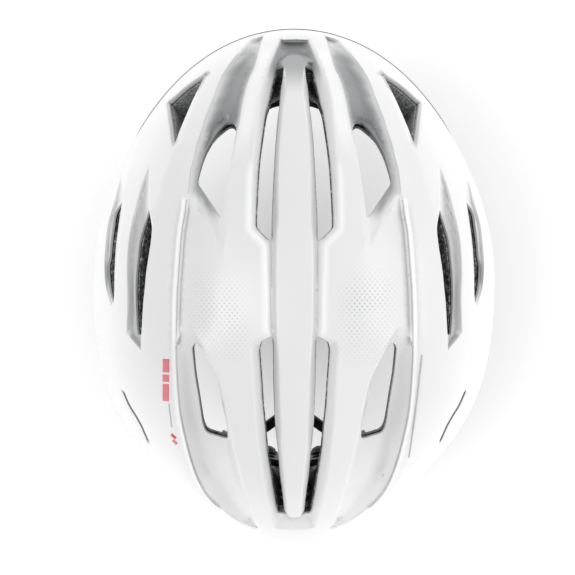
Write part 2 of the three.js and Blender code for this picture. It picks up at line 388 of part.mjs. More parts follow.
const K = Math.SQRT1_2;
add('strap_tail', ribbon([[-36.8 - 2.2 * K, 0, -127.2 - 2.2 * K, 0, 1, 0], [-48 - 2.2 * K, 0, -116 - 2.2 * K, 0, 1, 0], [-62.5 - 2.2 * K, 0, -101.5 - 2.2 * K, 0, 1, 0]], 14.6, 1.6), 'webbing');
add('strap_keeper', boxAt(9, 19, 7.6, {}).subtract(boxAt(20, 16, 4.8, {})).rotate([0, 45, 0]).translate([-49 - 1.1 * K, 0, -115 - 1.1 * K]), 'rubber');

let base = box(-3.7, 21.4, -11, 11, -134.5, -127.5).subtract(box(2, 14, -20, 20, -130.5, -120)).subtract(rod(4.3, -140, -131.6, 'z', 8, 0, 0));
add('buckle_base', base, 'plastic');
add('base_magnet', rod(4, -134.2, -131.9, 'z', 8, 0, 0), 'metal');
let slider = box(-30, -4, -11, 11, -134.5, -124.7).add(box(-10, 17, -10, 10, -127.2, -124.7)).add(box(2.4, 13.6, -10, 10, -130.2, -127)).subtract(rod(4.3, -129, -120, 'z', 8, 0, 0));
add('buckle_slider', slider, 'plastic');
add('slider_magnet', rod(4, -128.7, -126.2, 'z', 8, 0, 0), 'metal');

export default helmet;
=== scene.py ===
import json
import math

import bmesh
import bpy
import numpy as np
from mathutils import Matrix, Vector
from mathutils.geometry import delaunay_2d_cdt


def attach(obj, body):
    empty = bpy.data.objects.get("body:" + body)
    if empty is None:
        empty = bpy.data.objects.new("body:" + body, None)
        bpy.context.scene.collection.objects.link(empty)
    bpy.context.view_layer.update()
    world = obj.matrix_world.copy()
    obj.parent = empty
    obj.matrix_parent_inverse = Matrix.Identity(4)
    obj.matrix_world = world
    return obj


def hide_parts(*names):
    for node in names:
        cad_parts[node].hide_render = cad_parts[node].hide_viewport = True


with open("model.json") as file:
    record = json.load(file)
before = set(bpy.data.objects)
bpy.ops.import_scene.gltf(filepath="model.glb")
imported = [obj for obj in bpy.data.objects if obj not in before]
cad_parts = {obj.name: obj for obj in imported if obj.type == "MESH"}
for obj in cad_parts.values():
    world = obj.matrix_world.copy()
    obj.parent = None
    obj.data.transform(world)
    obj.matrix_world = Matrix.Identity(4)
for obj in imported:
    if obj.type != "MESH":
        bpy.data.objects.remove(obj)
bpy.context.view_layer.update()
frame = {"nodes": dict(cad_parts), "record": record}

# ---------------------------------------------------------------- outlines, mm, left half, seen from above
FRONT_VENT = [(5.7,-117.3),(9.7,-115.9),(12,-105.1),(13.9,-95.5),(14.9,-92),(16,-84.4),(17.4,-73.3),(18.4,-64.1),(19.1,-53.1),(19.7,-40.6),(19.9,-34.5),(19.7,-31.2),(18.2,-28.9),(14.3,-25),(12.7,-24.2),(11.4,-25),(11.4,-34.5),(10.8,-51.3),(10.2,-64),(9.5,-76.9),(8.4,-90),(7.8,-94.7),(7,-104.2),(5.7,-112.9)]
CENTRE_CREST = [(8.1,-135.6),(14.8,-117.4),(18.9,-100.3),(20.6,-78.6),(21.6,-68.1),(22.7,-59.4),(23.2,-47.8),(23.3,-34.6),(23.2,-29.7),(15.4,-21.5),(15.2,-9.8),(14.7,5.6),(14.7,20.4)]
RIB_EDGE = [(2.7,-121.1),(4.7,-118.8),(4,-104.5),(5.3,-94.7),(6.1,-86.5),(7,-76.9),(7.7,-64),(8,-51.3),(8,-34.5),(8.9,-21.8),(8.9,16.2),(7.7,37.5),(7.1,55.6),(6.4,72.9),(6.3,81.3),(5.2,93),(4.1,105),(3,119.1)]
REAR_VENT = [(17.1,27.2),(18,30.5),(18,34.8),(17.1,48.4),(16.5,59.4),(15.3,72.4),(14.6,81.4),(14.1,86.5),(12.8,95.5),(11.1,107.6),(9.3,118.2),(8.5,120.3),(3.4,120.7),(5.3,118.1),(6.3,107.5),(7.5,97.8),(8.3,86.9),(9.2,79),(9.9,69.6),(10.4,55.7),(10.7,41.2),(10.9,27.9),(11.7,24.3)]
REAR_CREST = [(11,23.6),(13.5,24.3),(17.8,25.4),(21.4,26.5),(22.6,30.1),(22,42.3),(21.2,54.2),(20.5,67.7),(19.4,79.2),(17.8,93.2),(16.1,105.3),(13.9,115.2),(12.2,124.7),(10.8,128.5)]
FRONT_CHANNEL_OUT = [(27.3,-129.5),(30.9,-124.2),(34.8,-118.4),(39,-110.5),(42.1,-101.2),(44.3,-94.8),(46.8,-87.9),(48.2,-82.3),(50.6,-74.8),(52.3,-66.6),(53.7,-61.1),(54.6,-53.1),(55,-46.7),(52.7,-46.7),(50.1,-40.9),(46.7,-35.1),(45.2,-31.4),(42.8,-27.1),(40.4,-22.4),(38.7,-20.8),(36.5,-24.4),(36.5,-34.8)]
FRONT_CHANNEL_IN = [(36.2,-37.1),(35.2,-47.9),(33.8,-57),(32.1,-64.3),(30.4,-74.2),(28.7,-82.8),(27.4,-90.6),(26.5,-96.5),(24.6,-105.4),(22.7,-111.2),(20.4,-117),(17,-132.6)]
FRONT_CHANNEL_HOLE = [(33.8,-86.6),(36,-85.9),(38.9,-82.9),(41.8,-78.8),(44.3,-74.4),(46.4,-69.6),(48.2,-63.7),(49.6,-57.9),(50,-54),(46.8,-49.2),(43.1,-43.7),(39.8,-38.6),(38,-36),(36.6,-36),(35.2,-47.9),(33.8,-57),(32.5,-66.1),(30.8,-76.4),(30.1,-82.5),(32.2,-86.4)]
RIDGE = [(56.2,-45.3),(56.8,-37.5),(58.1,-33.4),(59.1,-21.6),(59.9,-9.8),(60.7,1.9),(61.1,13.7),(61.3,31),(61.1,42.9),(60.6,55),(59.7,67.3),(58.4,74.6),(56.7,83.9),(55,91.7),(52.9,99.1),(50.7,105.3),(48,110.7),(44.4,115.6),(40.3,118.5)]
REAR_CHANNEL_IN = [(54.9,14.3),(47.4,27.6),(44.3,34.7),(40.8,41),(38.1,47.3),(36.6,53.7),(35.1,60.5),(32.8,74.4),(31,82.7),(29.4,91.2),(27.4,100.8),(25.3,110.7),(21.8,122.5),(19.5,129.1)]
REAR_CHANNEL_HOLE = [(51.6,28.7),(52.6,30.8),(52.4,34.8),(51.6,44.7),(50.5,52.7),(49.2,62.8),(48.3,70.6),(46.9,74.9),(45,76.5),(40.9,77.6),(36.1,78.9),(34.7,78.2),(35.1,70.7),(37.5,58.4),(38.9,48.9),(41.2,42.5),(45.9,33.1),(50.6,28)]
REAR_CHANNEL_RIM = [(40.3,118.5),(30.4,125.6),(21.1,129.8)]
BROW_VENT = [(46.8,-115.1),(54.5,-111),(59.7,-107.5),(67.7,-100.9),(69,-100.4),(66.6,-89),(64.3,-76),(63.2,-75.5),(62.1,-76.7),(59.8,-83.4),(56.3,-92.4),(53.4,-99.8),(50.6,-106.2)]
SIDE_RECESS = [(75.9,-65.5),(78.3,-59.8),(80.3,-54.6),(82.2,-47.7),(83.7,-40.9),(84.9,-36.1),(86.8,-26),(87.5,-18),(87.8,-6.8),(87.5,6.3),(88.2,24.2),(86.8,24.8),(79.6,33.2),(79.2,19.3),(78.4,7.9),(77.5,-0),(76.7,-7.9),(75.5,-15.8),(74.3,-23.8),(73.4,-30.9),(73.2,-33.7),(74.9,-40.6),(75.5,-55.6)]
SIDE_HOLE = [(77.9,-34.6),(79.5,-29.9),(81.1,-23.5),(81.9,-15.9),(82.7,-8),(83.1,2),(82.9,11.4),(82.6,17.4),(82,24.6),(79.5,24.2),(79.2,19.3),(78.4,7.9),(77.5,-0),(76.7,-7.9),(75.5,-15.8),(74.3,-23.8),(73.9,-31.5),(75.6,-41.0)]
OUTER_SLOT = [(91.4,-45.9),(92.5,-39.3),(93.3,-33.2),(94.4,-23.8),(94.9,-15.7),(95.2,-6.1),(95.2,2),(95.7,8.1),(98,2),(99.4,-6.1),(99.7,-12.2),(98.6,-16.3),(98,-24.4),(97.1,-32.6),(96.1,-40.4)]
OUTER_RECESS = [(93.7,-60.4),(96.2,-47.2),(99.8,-34.8),(101,-22.5),(101.5,-12.3),(100.7,-2),(99,4.1),(96.6,10.1),(94.6,6.3),(93.7,-9.5),(92.4,-25.3),(90.8,-40.2),(90.6,-52.2)]
REAR_SLIT = [(91.1,55.9),(88.1,62.9),(84.9,68),(81.8,73.8),(79.1,81.7)]
REAR_LIP = [(102.1,44.5),(91.1,55.9),(77.7,87.1)]
SOFT_CREST = [(61.7,-73.8),(64.5,-67.3),(66.8,-60),(68.6,-51.9),(70.5,-43.1)]
LOWER_FACET = [(80,-84.3),(83.6,-76.8),(85.9,-71.3),(87.7,-65),(89,-56.5),(91.2,-46.2)]

# ---------------------------------------------------------------- the helmet's base surface
OUT_C = [124.394, 0.011, 14.875, 0.51, 2.64, -0.625, 1.121, -0.733, 0.142]
EQ_C = [6.815, 6.971, 3.296, 0.507]
TUCK_C = [7.759, -7.071, 3.185, -1.607]
RIM_C = [-22.037, 23.148, -1.947, 2.844, 1.562, -2.421, -0.599]
CROWN = 120.0
CAV = dict(x=84.0, front=108.0, rear=104.0, z=90.0, n=2.2, drop=70.0)
S = 150.0                                     # domain radius of the widest line


def series(c, a):
    return sum(v * np.cos(k * a) for k, v in enumerate(c))


def shell_point(a, u):
    a, u = np.asarray(a, float), np.asarray(u, float)
    R, ze = series(OUT_C, a), series(EQ_C, a)
    q = np.sin(np.clip(u, 0, 1) * np.pi / 2)
    n = 2.175 + 0.05 * np.cos(a) - 0.125 * np.cos(2 * a)
    z = ze + (CROWN - ze) * np.maximum(1 - q ** n, 0) ** (1 / n)
    t = np.maximum(u - 1, 0)
    r = np.where(u <= 1, R * q, R - series(TUCK_C, a) * t * t)
    z = np.where(u <= 1, z, ze - (ze - series(RIM_C, a)) * t)
    return np.stack([r * np.sin(a), -r * np.cos(a), z], -1)


def cavity_point(a, u):
    a, u = np.asarray(a, float), np.asarray(u, float)
    depth = np.where(np.cos(a) > 0, CAV["front"], CAV["rear"])
    r = 1 / np.hypot(np.sin(a) / CAV["x"], np.cos(a) / depth)
    q = np.sin(np.clip(u, 0, 1) * np.pi / 2)
    z = np.where(u <= 1, CAV["z"] * np.maximum(1 - q ** CAV["n"], 0) ** (1 / CAV["n"]), -(u - 1) * CAV["drop"])
    return np.stack([r * q * np.sin(a), -r * q * np.cos(a), z], -1)


def surface_normal(f, a, u):
    a, u = np.asarray(a, float), np.asarray(u, float)
    e = 2e-3
    uu = np.maximum(u, 0.004)
    lo = np.where((uu > 1) & (uu - e < 1), 1 + 1e-6, uu - e)
    hi = np.where((uu <= 1) & (uu + e > 1), 1.0, uu + e)
    hi = np.maximum(hi, lo + 1e-4)
    n = np.cross(f(a + e, uu) - f(a - e, uu), f(a, hi) - f(a, lo))
    n /= np.linalg.norm(n, axis=-1, keepdims=True) + 1e-12
    p = f(a, u)
    ref = np.stack([p[..., 0], p[..., 1], np.maximum(p[..., 2], 0) + 1e-3], -1)
    s = np.sign((n * ref).sum(-1, keepdims=True))
    return n * np.where(s == 0, 1, s)


def au_of(xy):
    """Plan position to angle and u, above the widest line."""
    xy = np.asarray(xy, float)
    a = np.arctan2(xy[:, 0], -xy[:, 1])
    q = np.clip(np.hypot(xy[:, 0], xy[:, 1]) / series(OUT_C, a), 0, 0.99999)
    return a, np.arcsin(q) / (np.pi / 2)


def to_dom(xy):
    a, u = au_of(xy)
    return np.stack([S * u * np.sin(a), -S * u * np.cos(a)], -1)


def dom_au(pq):
    return np.arctan2(pq[:, 0], -pq[:, 1]), np.hypot(pq[:, 0], pq[:, 1]) / S


def smooth_line(pts, closed=False, corner=38, step=0.8):
    """Curve through the points that keeps sharp corners, sampled about every step mm."""
    P = [np.array(p, float) for p in pts]
    n = len(P)

    def turn(i):
        a, b, c = P[i - 1], P[i], P[(i + 1) % n]
        u, v = b - a, c - b
        cr = abs(u[0] * v[1] - u[1] * v[0])
        return math.degrees(math.atan2(cr, float(u @ v)))
    sharp = [(not closed and i in (0, n - 1)) or turn(i) > corner for i in range(n)]
    out = []
    for i in range(n if closed else n - 1):
        p1, p2 = P[i], P[(i + 1) % n]
        p0 = P[i - 1] if not sharp[i] else 2 * p1 - p2
        p3 = P[(i + 2) % n] if not sharp[(i + 1) % n] else 2 * p2 - p1
        k = max(1, int(round(np.linalg.norm(p2 - p1) / step)))
        for j in range(k):
            t = j / k
            out.append(0.5 * (2 * p1 + (p2 - p0) * t + (2 * p0 - 5 * p1 + 4 * p2 - p3) * t * t + (3 * p1 - p0 - 3 * p2 + p3) * t ** 3))
    if not closed:
        out.append(P[-1])
    return np.array(out)


def round_corners(P, times=2):
    for _ in range(times):
        Q = np.roll(P, -1, 0)
        P = np.stack([0.75 * P + 0.25 * Q, 0.25 * P + 0.75 * Q], 1).reshape(-1, 2)[::2] * 0.5 + np.stack([0.75 * P + 0.25 * Q, 0.25 * P + 0.75 * Q], 1).reshape(-1, 2)[1::2] * 0.5
    return P


def shrink(poly, d):
    """Closed outline moved inwards by d (outwards when negative)."""
    P = np.asarray(poly, float)
    x, y = P[:, 0], P[:, 1]
    area = (x * np.roll(y, -1) - np.roll(x, -1) * y).sum()
    w = 1 if area > 0 else -1
    t = np.roll(P, -2, 0) - np.roll(P, 2, 0)
    t /= np.linalg.norm(t, axis=1, keepdims=True) + 1e-9
    return P + np.stack([-t[:, 1], t[:, 0]], 1) * w * d


def inside(poly, pts):
    P = np.asarray(poly, float)
    x, y = pts[:, 0], pts[:, 1]
    res = np.zeros(len(pts), bool)
    j = len(P) - 1
    for i in range(len(P)):
        xi, yi, xj, yj = P[i, 0], P[i, 1], P[j, 0], P[j, 1]
        if yi != yj:
            c = ((yi > y) != (yj > y)) & (x < (xj - xi) * (y - yi) / (yj - yi) + xi)
            res ^= c
        j = i
    return res


def lift(xy):
    a, u = au_of(xy)
    return shell_point(a, u)


def dist_to(line_xy, pts3, thin=2):
    """Distance in space from points on the base surface to a line laid on it."""
    L = lift(np.asarray(line_xy)[::thin] if len(line_xy) > 6 else np.asarray(line_xy))
    best = np.full(len(pts3), 1e9)
    for a, b in zip(L[:-1], L[1:]):
        ab = b - a
        m = float(ab @ ab)
        if m < 1e-9:
            continue
        t = np.clip(((pts3 - a) @ ab) / m, 0, 1)
        best = np.minimum(best, np.linalg.norm(pts3 - (a + t[:, None] * ab), axis=1))
    return best


def smin(a, b, k):
    h = np.clip(0.5 + 0.5 * (b - a) / k, 0, 1)
    return b + (a - b) * h - k * h * (1 - h)


def sstep(x, a, b):
    t = np.clip((x - a) / (b - a), 0, 1)
    return t * t * (3 - 2 * t)


def ramp(y, table):
    return np.interp(y, [t[0] for t in table], [t[1] for t in table])


L_RIB = smooth_line([(0, -123.2)] + RIB_EDGE + [(0.9, 121.5), (0, 122.0)])
L_CENTRE = smooth_line([(0, -139.2), (5.5, -138.6)] + CENTRE_CREST + [(14.6, 21.5), (13.5, 24.3)] + REAR_CREST[2:] + [(6.0, 129.6), (0, 130.2)], corner=30)
MOUTH = np.array([(-6.2, -133.3), (6.2, -133.3), (8.6, -128.0), (13.4, -112.0), (14.0, -106.0), (-14.0, -106.0), (-13.4, -112.0), (-8.6, -128.0)], float)
L_MOUTH = np.array([(0, -133.3), (2.0, -133.3), (4.2, -133.3), (6.2, -133.2)], float)
RIB_POLY = np.vstack([L_RIB, L_RIB[::-1] * np.array([-1.0, 1.0])])
L_FOUT = smooth_line([(24.5, -134.0)] + FRONT_CHANNEL_OUT, corner=30)
L_FIN = smooth_line(FRONT_CHANNEL_IN + [(16.0, -136.5)])


def calm(line, n):
    """A line with its small wobbles averaged out; its ends stay."""
    line = np.array(line, float)
    for _ in range(n):
        line[1:-1] = 0.25 * line[:-2] + 0.5 * line[1:-1] + 0.25 * line[2:]
    return line


L_RIDGE = calm(smooth_line(RIDGE), 60)
L_RIDGE_R = calm(smooth_line(RIDGE[7:]), 60)
L_RIN = smooth_line(REAR_CHANNEL_IN)
L_RCH_RIM = smooth_line(REAR_CHANNEL_RIM)
L_FCH_POLY = np.vstack([L_FOUT, L_FIN])
L_RCH_POLY = np.vstack([L_RIDGE_R, smooth_line(REAR_CHANNEL_RIM)[1:-1], L_RIN[::-1]])
L_SIDE = smooth_line(SIDE_RECESS, True, 30)
L_SIDE_OUT = smooth_line(SIDE_RECESS[-3:] + SIDE_RECESS[:12])
L_SIDE_IN = smooth_line(SIDE_RECESS[11:])
L_OUTER = smooth_line(OUTER_RECESS, True, 30)
HOLES = {
    "front_vent": round_corners(smooth_line(FRONT_VENT, True, 30)),
    "rear_vent": round_corners(smooth_line(REAR_VENT, True, 30)),
    "front_channel": round_corners(smooth_line(FRONT_CHANNEL_HOLE, True, 40), 3),
    "rear_channel": round_corners(smooth_line(REAR_CHANNEL_HOLE, True, 40), 3),
    "brow": round_corners(smooth_line(BROW_VENT, True, 40), 2),
    "side": round_corners(smooth_line(SIDE_HOLE, True, 40), 2),
    "slot": round_corners(smooth_line(OUTER_SLOT, True, 40), 2),
}
HOLES["brow"] = shrink(HOLES["brow"], 0.9) + np.array([-0.8, 0.25])


def depth_field(xy, P, u):
    """How far the shell lies below the base surface, mm, for points in plan xy with P on the base surface."""
    X = np.abs(xy[:, 0])
    Y = xy[:, 1]
    m = np.stack([X, Y], 1)
    P = P.copy()
    P[:, 0] = np.abs(P[:, 0])
    D = np.zeros(len(X))
    top = u < 1.0

    def put(mask, fn):
        i = np.nonzero(mask & top)[0]
        if len(i):
            D[i] = np.maximum(D[i], fn(m[i], P[i]))

    def edge(line, p, slope, r=0.45):
        d = dist_to(line, p)
        return (np.sqrt(d * d + r * r) - r) * slope

    # centre tray between the centre rib and the two strips beside it
    tray_poly = np.vstack([L_CENTRE, L_RIB[::-1]])
    def tray(m, p):
        cap_ = ramp(m[:, 1], [(-133.2, 5.0), (-122, 7.0), (-104, 6.5), (-80, 5.2), (-24, 4.8), (-18, 3.6), (18, 3.6), (26, 4.8), (90, 5.0), (116, 5.2), (123, 4.4), (129.0, 0.35), (131, 0.0)])
        dm = dist_to(L_MOUTH, p, 1)
        front_ = m[:, 1] < -116
        cap_ = np.where(front_, np.where(m[:, 1] > -133.3, np.minimum(cap_, 0.8 + 2.6 * dm), 0.8 * (1 - sstep(dm, 0.2, 6.0))), cap_)
        a = edge(L_CENTRE, p, 1.05)
        b = edge(L_RIB, p, 1.7)
        return smin(smin(a, b, 0.8), cap_, 0.9)
    put(inside(tray_poly, m), tray)

    # the centre rib dives into the mouth
    def nose(m, p):
        w_ = np.interp(m[:, 1], L_RIB[:60, 1], L_RIB[:60, 0])
        return np.minimum(4.6 * sstep(-m[:, 1], 100.0, 126.0) ** 1.6 * (1 - sstep(m[:, 0] - w_, 2.6, 7.5)), 0.8 + 2.6 * dist_to(L_MOUTH, p, 1))
    put((m[:, 1] < -100) & (m[:, 1] > -133.2) & (m[:, 0] < 13), nose)

    # front outer channel
    def fch(m, p):
        cap_ = ramp(m[:, 1], [(-137, 1.4), (-128, 6.0), (-118, 9.5), (-104, 13.5), (-90, 14.5), (-50, 13.0), (-36, 7.5), (-20, 1.5)])
        cap_ = np.minimum(cap_, 0.9 * dist_to([(27.3, -132.0), (24.5, -134.0), (20.0, -135.6), (15.5, -136.8)], p, 1))
        a = edge(L_FOUT, p, 0.98)
        b = edge(L_FIN, p, 2.8, 0.9)
        return smin(smin(a, b, 1.6), cap_, 2.4)
    put(inside(L_FCH_POLY, m), fch)

    # rear outer channel
    def rch(m, p):
        cap_ = ramp(m[:, 1], [(12, 0.3), (24, 3.0), (40, 6.5), (70, 9.0), (100, 8.5), (118, 6.5), (130, 4.0)])
        cap_ = np.minimum(cap_, 0.35 + 0.42 * dist_to(L_RCH_RIM, p, 1))
        a = edge(L_RIDGE_R, p, 1.05) * (1 - 0.62 * sstep(m[:, 1], 90, 116))
        b = edge(L_RIN, p, 2.2)
        return smin(smin(a, b, 1.0), cap_, 1.4)
    put(inside(L_RCH_POLY, m), rch)

    # step along the inner side of the outer ridge
    ridge_in = np.vstack([L_RIDGE[:140], [[40, 118], [20, 60], [20, -60], [50, -60]]])
    def step_(m, p):
        d = dist_to(L_RIDGE, p)
        near = np.where((m[:, 1] > -48) & (m[:, 1] < 40), 1.0, 0.0)
        fade = sstep(m[:, 1], -50, -38) * (1 - sstep(m[:, 1], 14, 34))
        return (2.6 * sstep(d, 0.1, 2.6) * (1 - sstep(d, 6, 26)) + 0.9 * np.exp(-((d - 2.4) / 0.9) ** 2)) * fade * near
    put(inside(ridge_in, m), step_)

    # side recesses
    def side(m, p):
        cap_ = ramp(m[:, 1], [(-66, 0.5), (-52, 3.2), (-30, 4.8), (20, 4.8), (34, 3.0)])
        return smin(smin(edge(L_SIDE_OUT, p, 0.85), edge(L_SIDE_IN, p, 2.4), 0.6), cap_, 1.0)
    put(inside(L_SIDE, m), side)

    def outer(m, p):
        cap_ = ramp(m[:, 1], [(-60, 0.5), (-46, 2.4), (-5, 3.0), (10, 1.0)])
        return smin(edge(L_OUTER, p, 0.8), cap_, 0.8)
    put(inside(L_OUTER, m), outer)

    # slit at the rear side
    box = (m[:, 0] > 70) & (m[:, 1] > 40) & (m[:, 1] < 95)
    def slit(m, p):
        d = dist_to(REAR_SLIT, p, 1)
        dl = dist_to(REAR_LIP, p, 1)
        return 1.7 * (1 - sstep(d, 0.25, 1.5)) + 0.5 * (1 - sstep(d, 1.2, 6))
    put(box, slit)

    # soft creases stand proud
    bump = np.zeros(len(X))
    i = np.nonzero(top & (X > 50) & (Y < 60))[0]
    if len(i):
        for line, h, w in ((SOFT_CREST, 0.9, 5.5), (LOWER_FACET, 0.8, 5.0)):
            d = dist_to(line, P[i], 1)
            bump[i] += h * np.exp(-(d / w) ** 2 * 0.9) * (0.55 + 0.45 * np.exp(-d / 0.8))
    i = np.nonzero(top & (X > 30))[0]
    if len(i):
        d = dist_to(L_RIDGE, P[i])
        out_ = D[i] < 0.05
        bump[i] += (1.2 * np.exp(-(d / 1.9) ** 2) - 0.6 * np.exp(-((d - 2.4) / 1.1) ** 2)) * out_
        d = dist_to(L_FOUT, P[i])
        bump[i] += 0.5 * np.exp(-(d / 4.0) ** 2) * (D[i] < 0.05)
    for poly, h, w in ((HOLES["brow"], 1.1, 1.6),):
        j = np.nonzero(top & (X > 38) & (X < 78) & (Y < -68))[0]
        if len(j):
            d = dist_to(np.vstack([poly, poly[:1]]), P[j])
            bump[j] -= h * np.exp(-(d / w) ** 2)
    return D - bump


def sink(N):
    """Direction in which the shell is pressed in, and how far one mm of depth goes along it."""
    w = sstep(N[:, 2], 0.10, 0.45)[:, None]
    d = N * (1 - w) + np.array([0, 0, 1.0]) * w
    d /= np.linalg.norm(d, axis=1, keepdims=True)
    return d, 1 / np.maximum((d * N).sum(1), 0.6)


# ---------------------------------------------------------------- meshing the domain
def plan_of(a, u):
    p = shell_point(a, u)
    return p[:, :2], p


def u_split(a):
    """Where the upper and lower shells meet: just above the widest line in front, below it elsewhere."""
    c = np.cos(a)
    return 1.30 - 0.368 * sstep(c, 0.30, 0.80)


def rows_along(line_xy, offsets, step):
    """Points beside a line, in the domain."""
    Q = to_dom(line_xy)
    seg = np.linalg.norm(np.diff(Q, axis=0), axis=1)
    cum = np.concatenate([[0], np.cumsum(seg)])
    n = max(2, int(cum[-1] / step))
    t = np.linspace(0, cum[-1], n)
    q = np.stack([np.interp(t, cum, Q[:, 0]), np.interp(t, cum, Q[:, 1])], 1)
    tan = np.gradient(q, axis=0)
    tan /= np.linalg.norm(tan, axis=1, keepdims=True) + 1e-9
    nor = np.stack([-tan[:, 1], tan[:, 0]], 1)
    return [q + nor * o for o in offsets]


def triangulate(holes, lines, grid, fine, rim_u, n_rim):
    """Points and triangles of the domain, with the holes left out."""
    pts, edges, fixed = [], [], []

    def chain(Q, closed):
        k = len(pts)
        pts.extend(map(tuple, Q))
        n = len(Q)
        for i in range(n if closed else n - 1):
            edges.append((k + i, k + (i + 1) % n))
    mir = np.array([-1.0, 1.0])
    for h in holes:
        for s in (np.array([1.0, 1.0]), mir):
            chain(to_dom(h * s), True)
    for l in lines:
        for s in (np.array([1.0, 1.0]), mir):
            q = to_dom(np.asarray(l) * s)
            q = q[:-1] if abs(l[-1][0]) < 1e-6 and s[0] < 0 else q
            q = q[1:] if abs(l[0][0]) < 1e-6 and s[0] < 0 else q
            chain(q, False)
    a = np.linspace(0, 2 * np.pi, n_rim, endpoint=False)
    ur = rim_u(a)
    rim = np.stack([S * ur * np.sin(a), -S * ur * np.cos(a)], 1)
    chain(rim, True)
    hard = np.array(pts)
    soft = []
    for l in list(lines) + [np.vstack([h, h[:1]]) for h in holes]:
        for r in rows_along(l, [o * k for o in fine for k in (-1, 1)], max(fine[0] * 1.5, 0.9)):
            soft.append(r)
            soft.append(r * mir)
    ys = np.arange(-S * 2.05, S * 2.05, grid * 0.866)
    for i, y in enumerate(ys):
        xs = np.arange(-S * 2.05, S * 2.05, grid) + (grid / 2 if i % 2 else 0)
        soft.append(np.stack([xs, np.full(len(xs), y)], 1))
    soft = np.vstack(soft)
    aa, uu = dom_au(soft)
    soft = soft[uu * S < rim_u(aa) * S - grid * 0.3]
    seen = {}
    cell = fine[0] * 0.75 if fine else grid * 0.4
    for p in hard:
        seen[(int(p[0] // cell), int(p[1] // cell))] = [tuple(p)]
    keep = []
    nfine = len(soft)
    for p in soft:
        i, j = int(p[0] // cell), int(p[1] // cell)
        bad = False
        for di in (-1, 0, 1):
            for dj in (-1, 0, 1):
                for q in seen.get((i + di, j + dj), ()):
                    if (p[0] - q[0]) ** 2 + (p[1] - q[1]) ** 2 < cell * cell:
                        bad = True
                        break
        if not bad:
            seen.setdefault((i, j), []).append((p[0], p[1]))
            keep.append((p[0], p[1]))
    pts.extend(keep)
    V, E, T, _, _, _ = delaunay_2d_cdt([Vector(p) for p in pts], edges, [], 0, 1e-5)
    V = np.array([(v.x, v.y) for v in V])
    T = np.array([t for t in T if len(t) == 3], dtype=np.int64)
    c = V[T].mean(1)
    a, u = dom_au(c)
    ok = u < rim_u(a) - 1e-5
    sx = np.stack([np.abs(c[:, 0]), c[:, 1]], 1)
    for h in holes:
        ok &= ~inside(to_dom(h), sx)
    area = np.cross(V[T[:, 1]] - V[T[:, 0]], V[T[:, 2]] - V[T[:, 0]])
    ok &= np.abs(area) > 1e-7
    T, area = T[ok], area[ok]
    T[area < 0] = T[area < 0][:, ::-1]
    used = np.unique(T)
    remap = -np.ones(len(V), dtype=np.int64)
    remap[used] = np.arange(len(used))
    return V[used], remap[T]


def border_edges(T):
    e = np.vstack([T[:, [0, 1]], T[:, [1, 2]], T[:, [2, 0]]])
    key = np.sort(e, 1)
    _, idx, cnt = np.unique(key, axis=0, return_index=True, return_counts=True)
    return e[idx[cnt == 1]]


def build(name, verts_mm, faces, smooth=40):
    me = bpy.data.meshes.new(name)
    me.from_pydata((np.asarray(verts_mm) / 1000.0).tolist(), [], [list(map(int, f)) for f in faces])
    me.validate()
    me.update()
    me.polygons.foreach_set("use_smooth", [True] * len(me.polygons))
    if smooth is not None:
        me.set_sharp_from_angle(angle=math.radians(smooth))
    o = bpy.data.objects.new(name, me)
    bpy.context.scene.collection.objects.link(o)
    return o


def thick(T, top, bottom, rows=1, mids=None):
    """Closed solid between two copies of the same triangulation."""
    n = len(top)
    V = [top, bottom]
    F = [tuple(t) for t in T] + [tuple(t[::-1] + n) for t in T]
    E = border_edges(T)
    if rows <= 1:
        F += [(b, a, a + n, b + n) for a, b in E]
    else:
        b_ids = np.unique(E)
        layer = {}
        base = 2 * n
        for r in range(1, rows):
            t = r / rows
            layer[r] = {int(v): base + i for i, v in enumerate(b_ids)}
            V.append(top[b_ids] * (1 - t) + bottom[b_ids] * t)
            base += len(b_ids)
        for a, b in E:
            prev = (int(a), int(b))
            for r in range(1, rows + 1):
                cur = (layer[r][int(a)], layer[r][int(b)]) if r < rows else (int(a) + n, int(b) + n)
                F.append((prev[1], prev[0], cur[0], cur[1]))
                prev = cur
    return np.vstack(V), F


# ---------------------------------------------------------------- upper shell
CRESTS = [L_CENTRE, L_RIB, L_FOUT, L_FIN, L_RIDGE, L_RIN, L_RCH_RIM[3:-3], L_MOUTH, smooth_line(REAR_SLIT), L_SIDE_OUT, L_SIDE_IN, L_OUTER]
L_RIB_HALF = np.vstack([L_RIB, [[0, 122.0], [0, -123.2]]])
V2, T = triangulate(list(HOLES.values()), CRESTS, 2.6, (0.55, 1.3, 2.4), u_split, 420)
A, U = dom_au(V2)
XY, P = plan_of(A, U)
N = surface_normal(shell_point, A, U)
D = depth_field(XY, P, U)


def relax(D, T, w, rounds):
    """Evens the depth between neighbouring points, where the weight w allows it."""
    e = np.vstack([T[:, [0, 1]], T[:, [1, 2]], T[:, [2, 0]]])
    for _ in range(rounds):
        s, c = np.zeros(len(D)), np.zeros(len(D))
        np.add.at(s, e[:, 0], D[e[:, 1]])
        np.add.at(c, e[:, 0], 1)
        np.add.at(s, e[:, 1], D[e[:, 0]])
        np.add.at(c, e[:, 1], 1)
        D = D + w * (s / np.maximum(c, 1) - D)
    return D


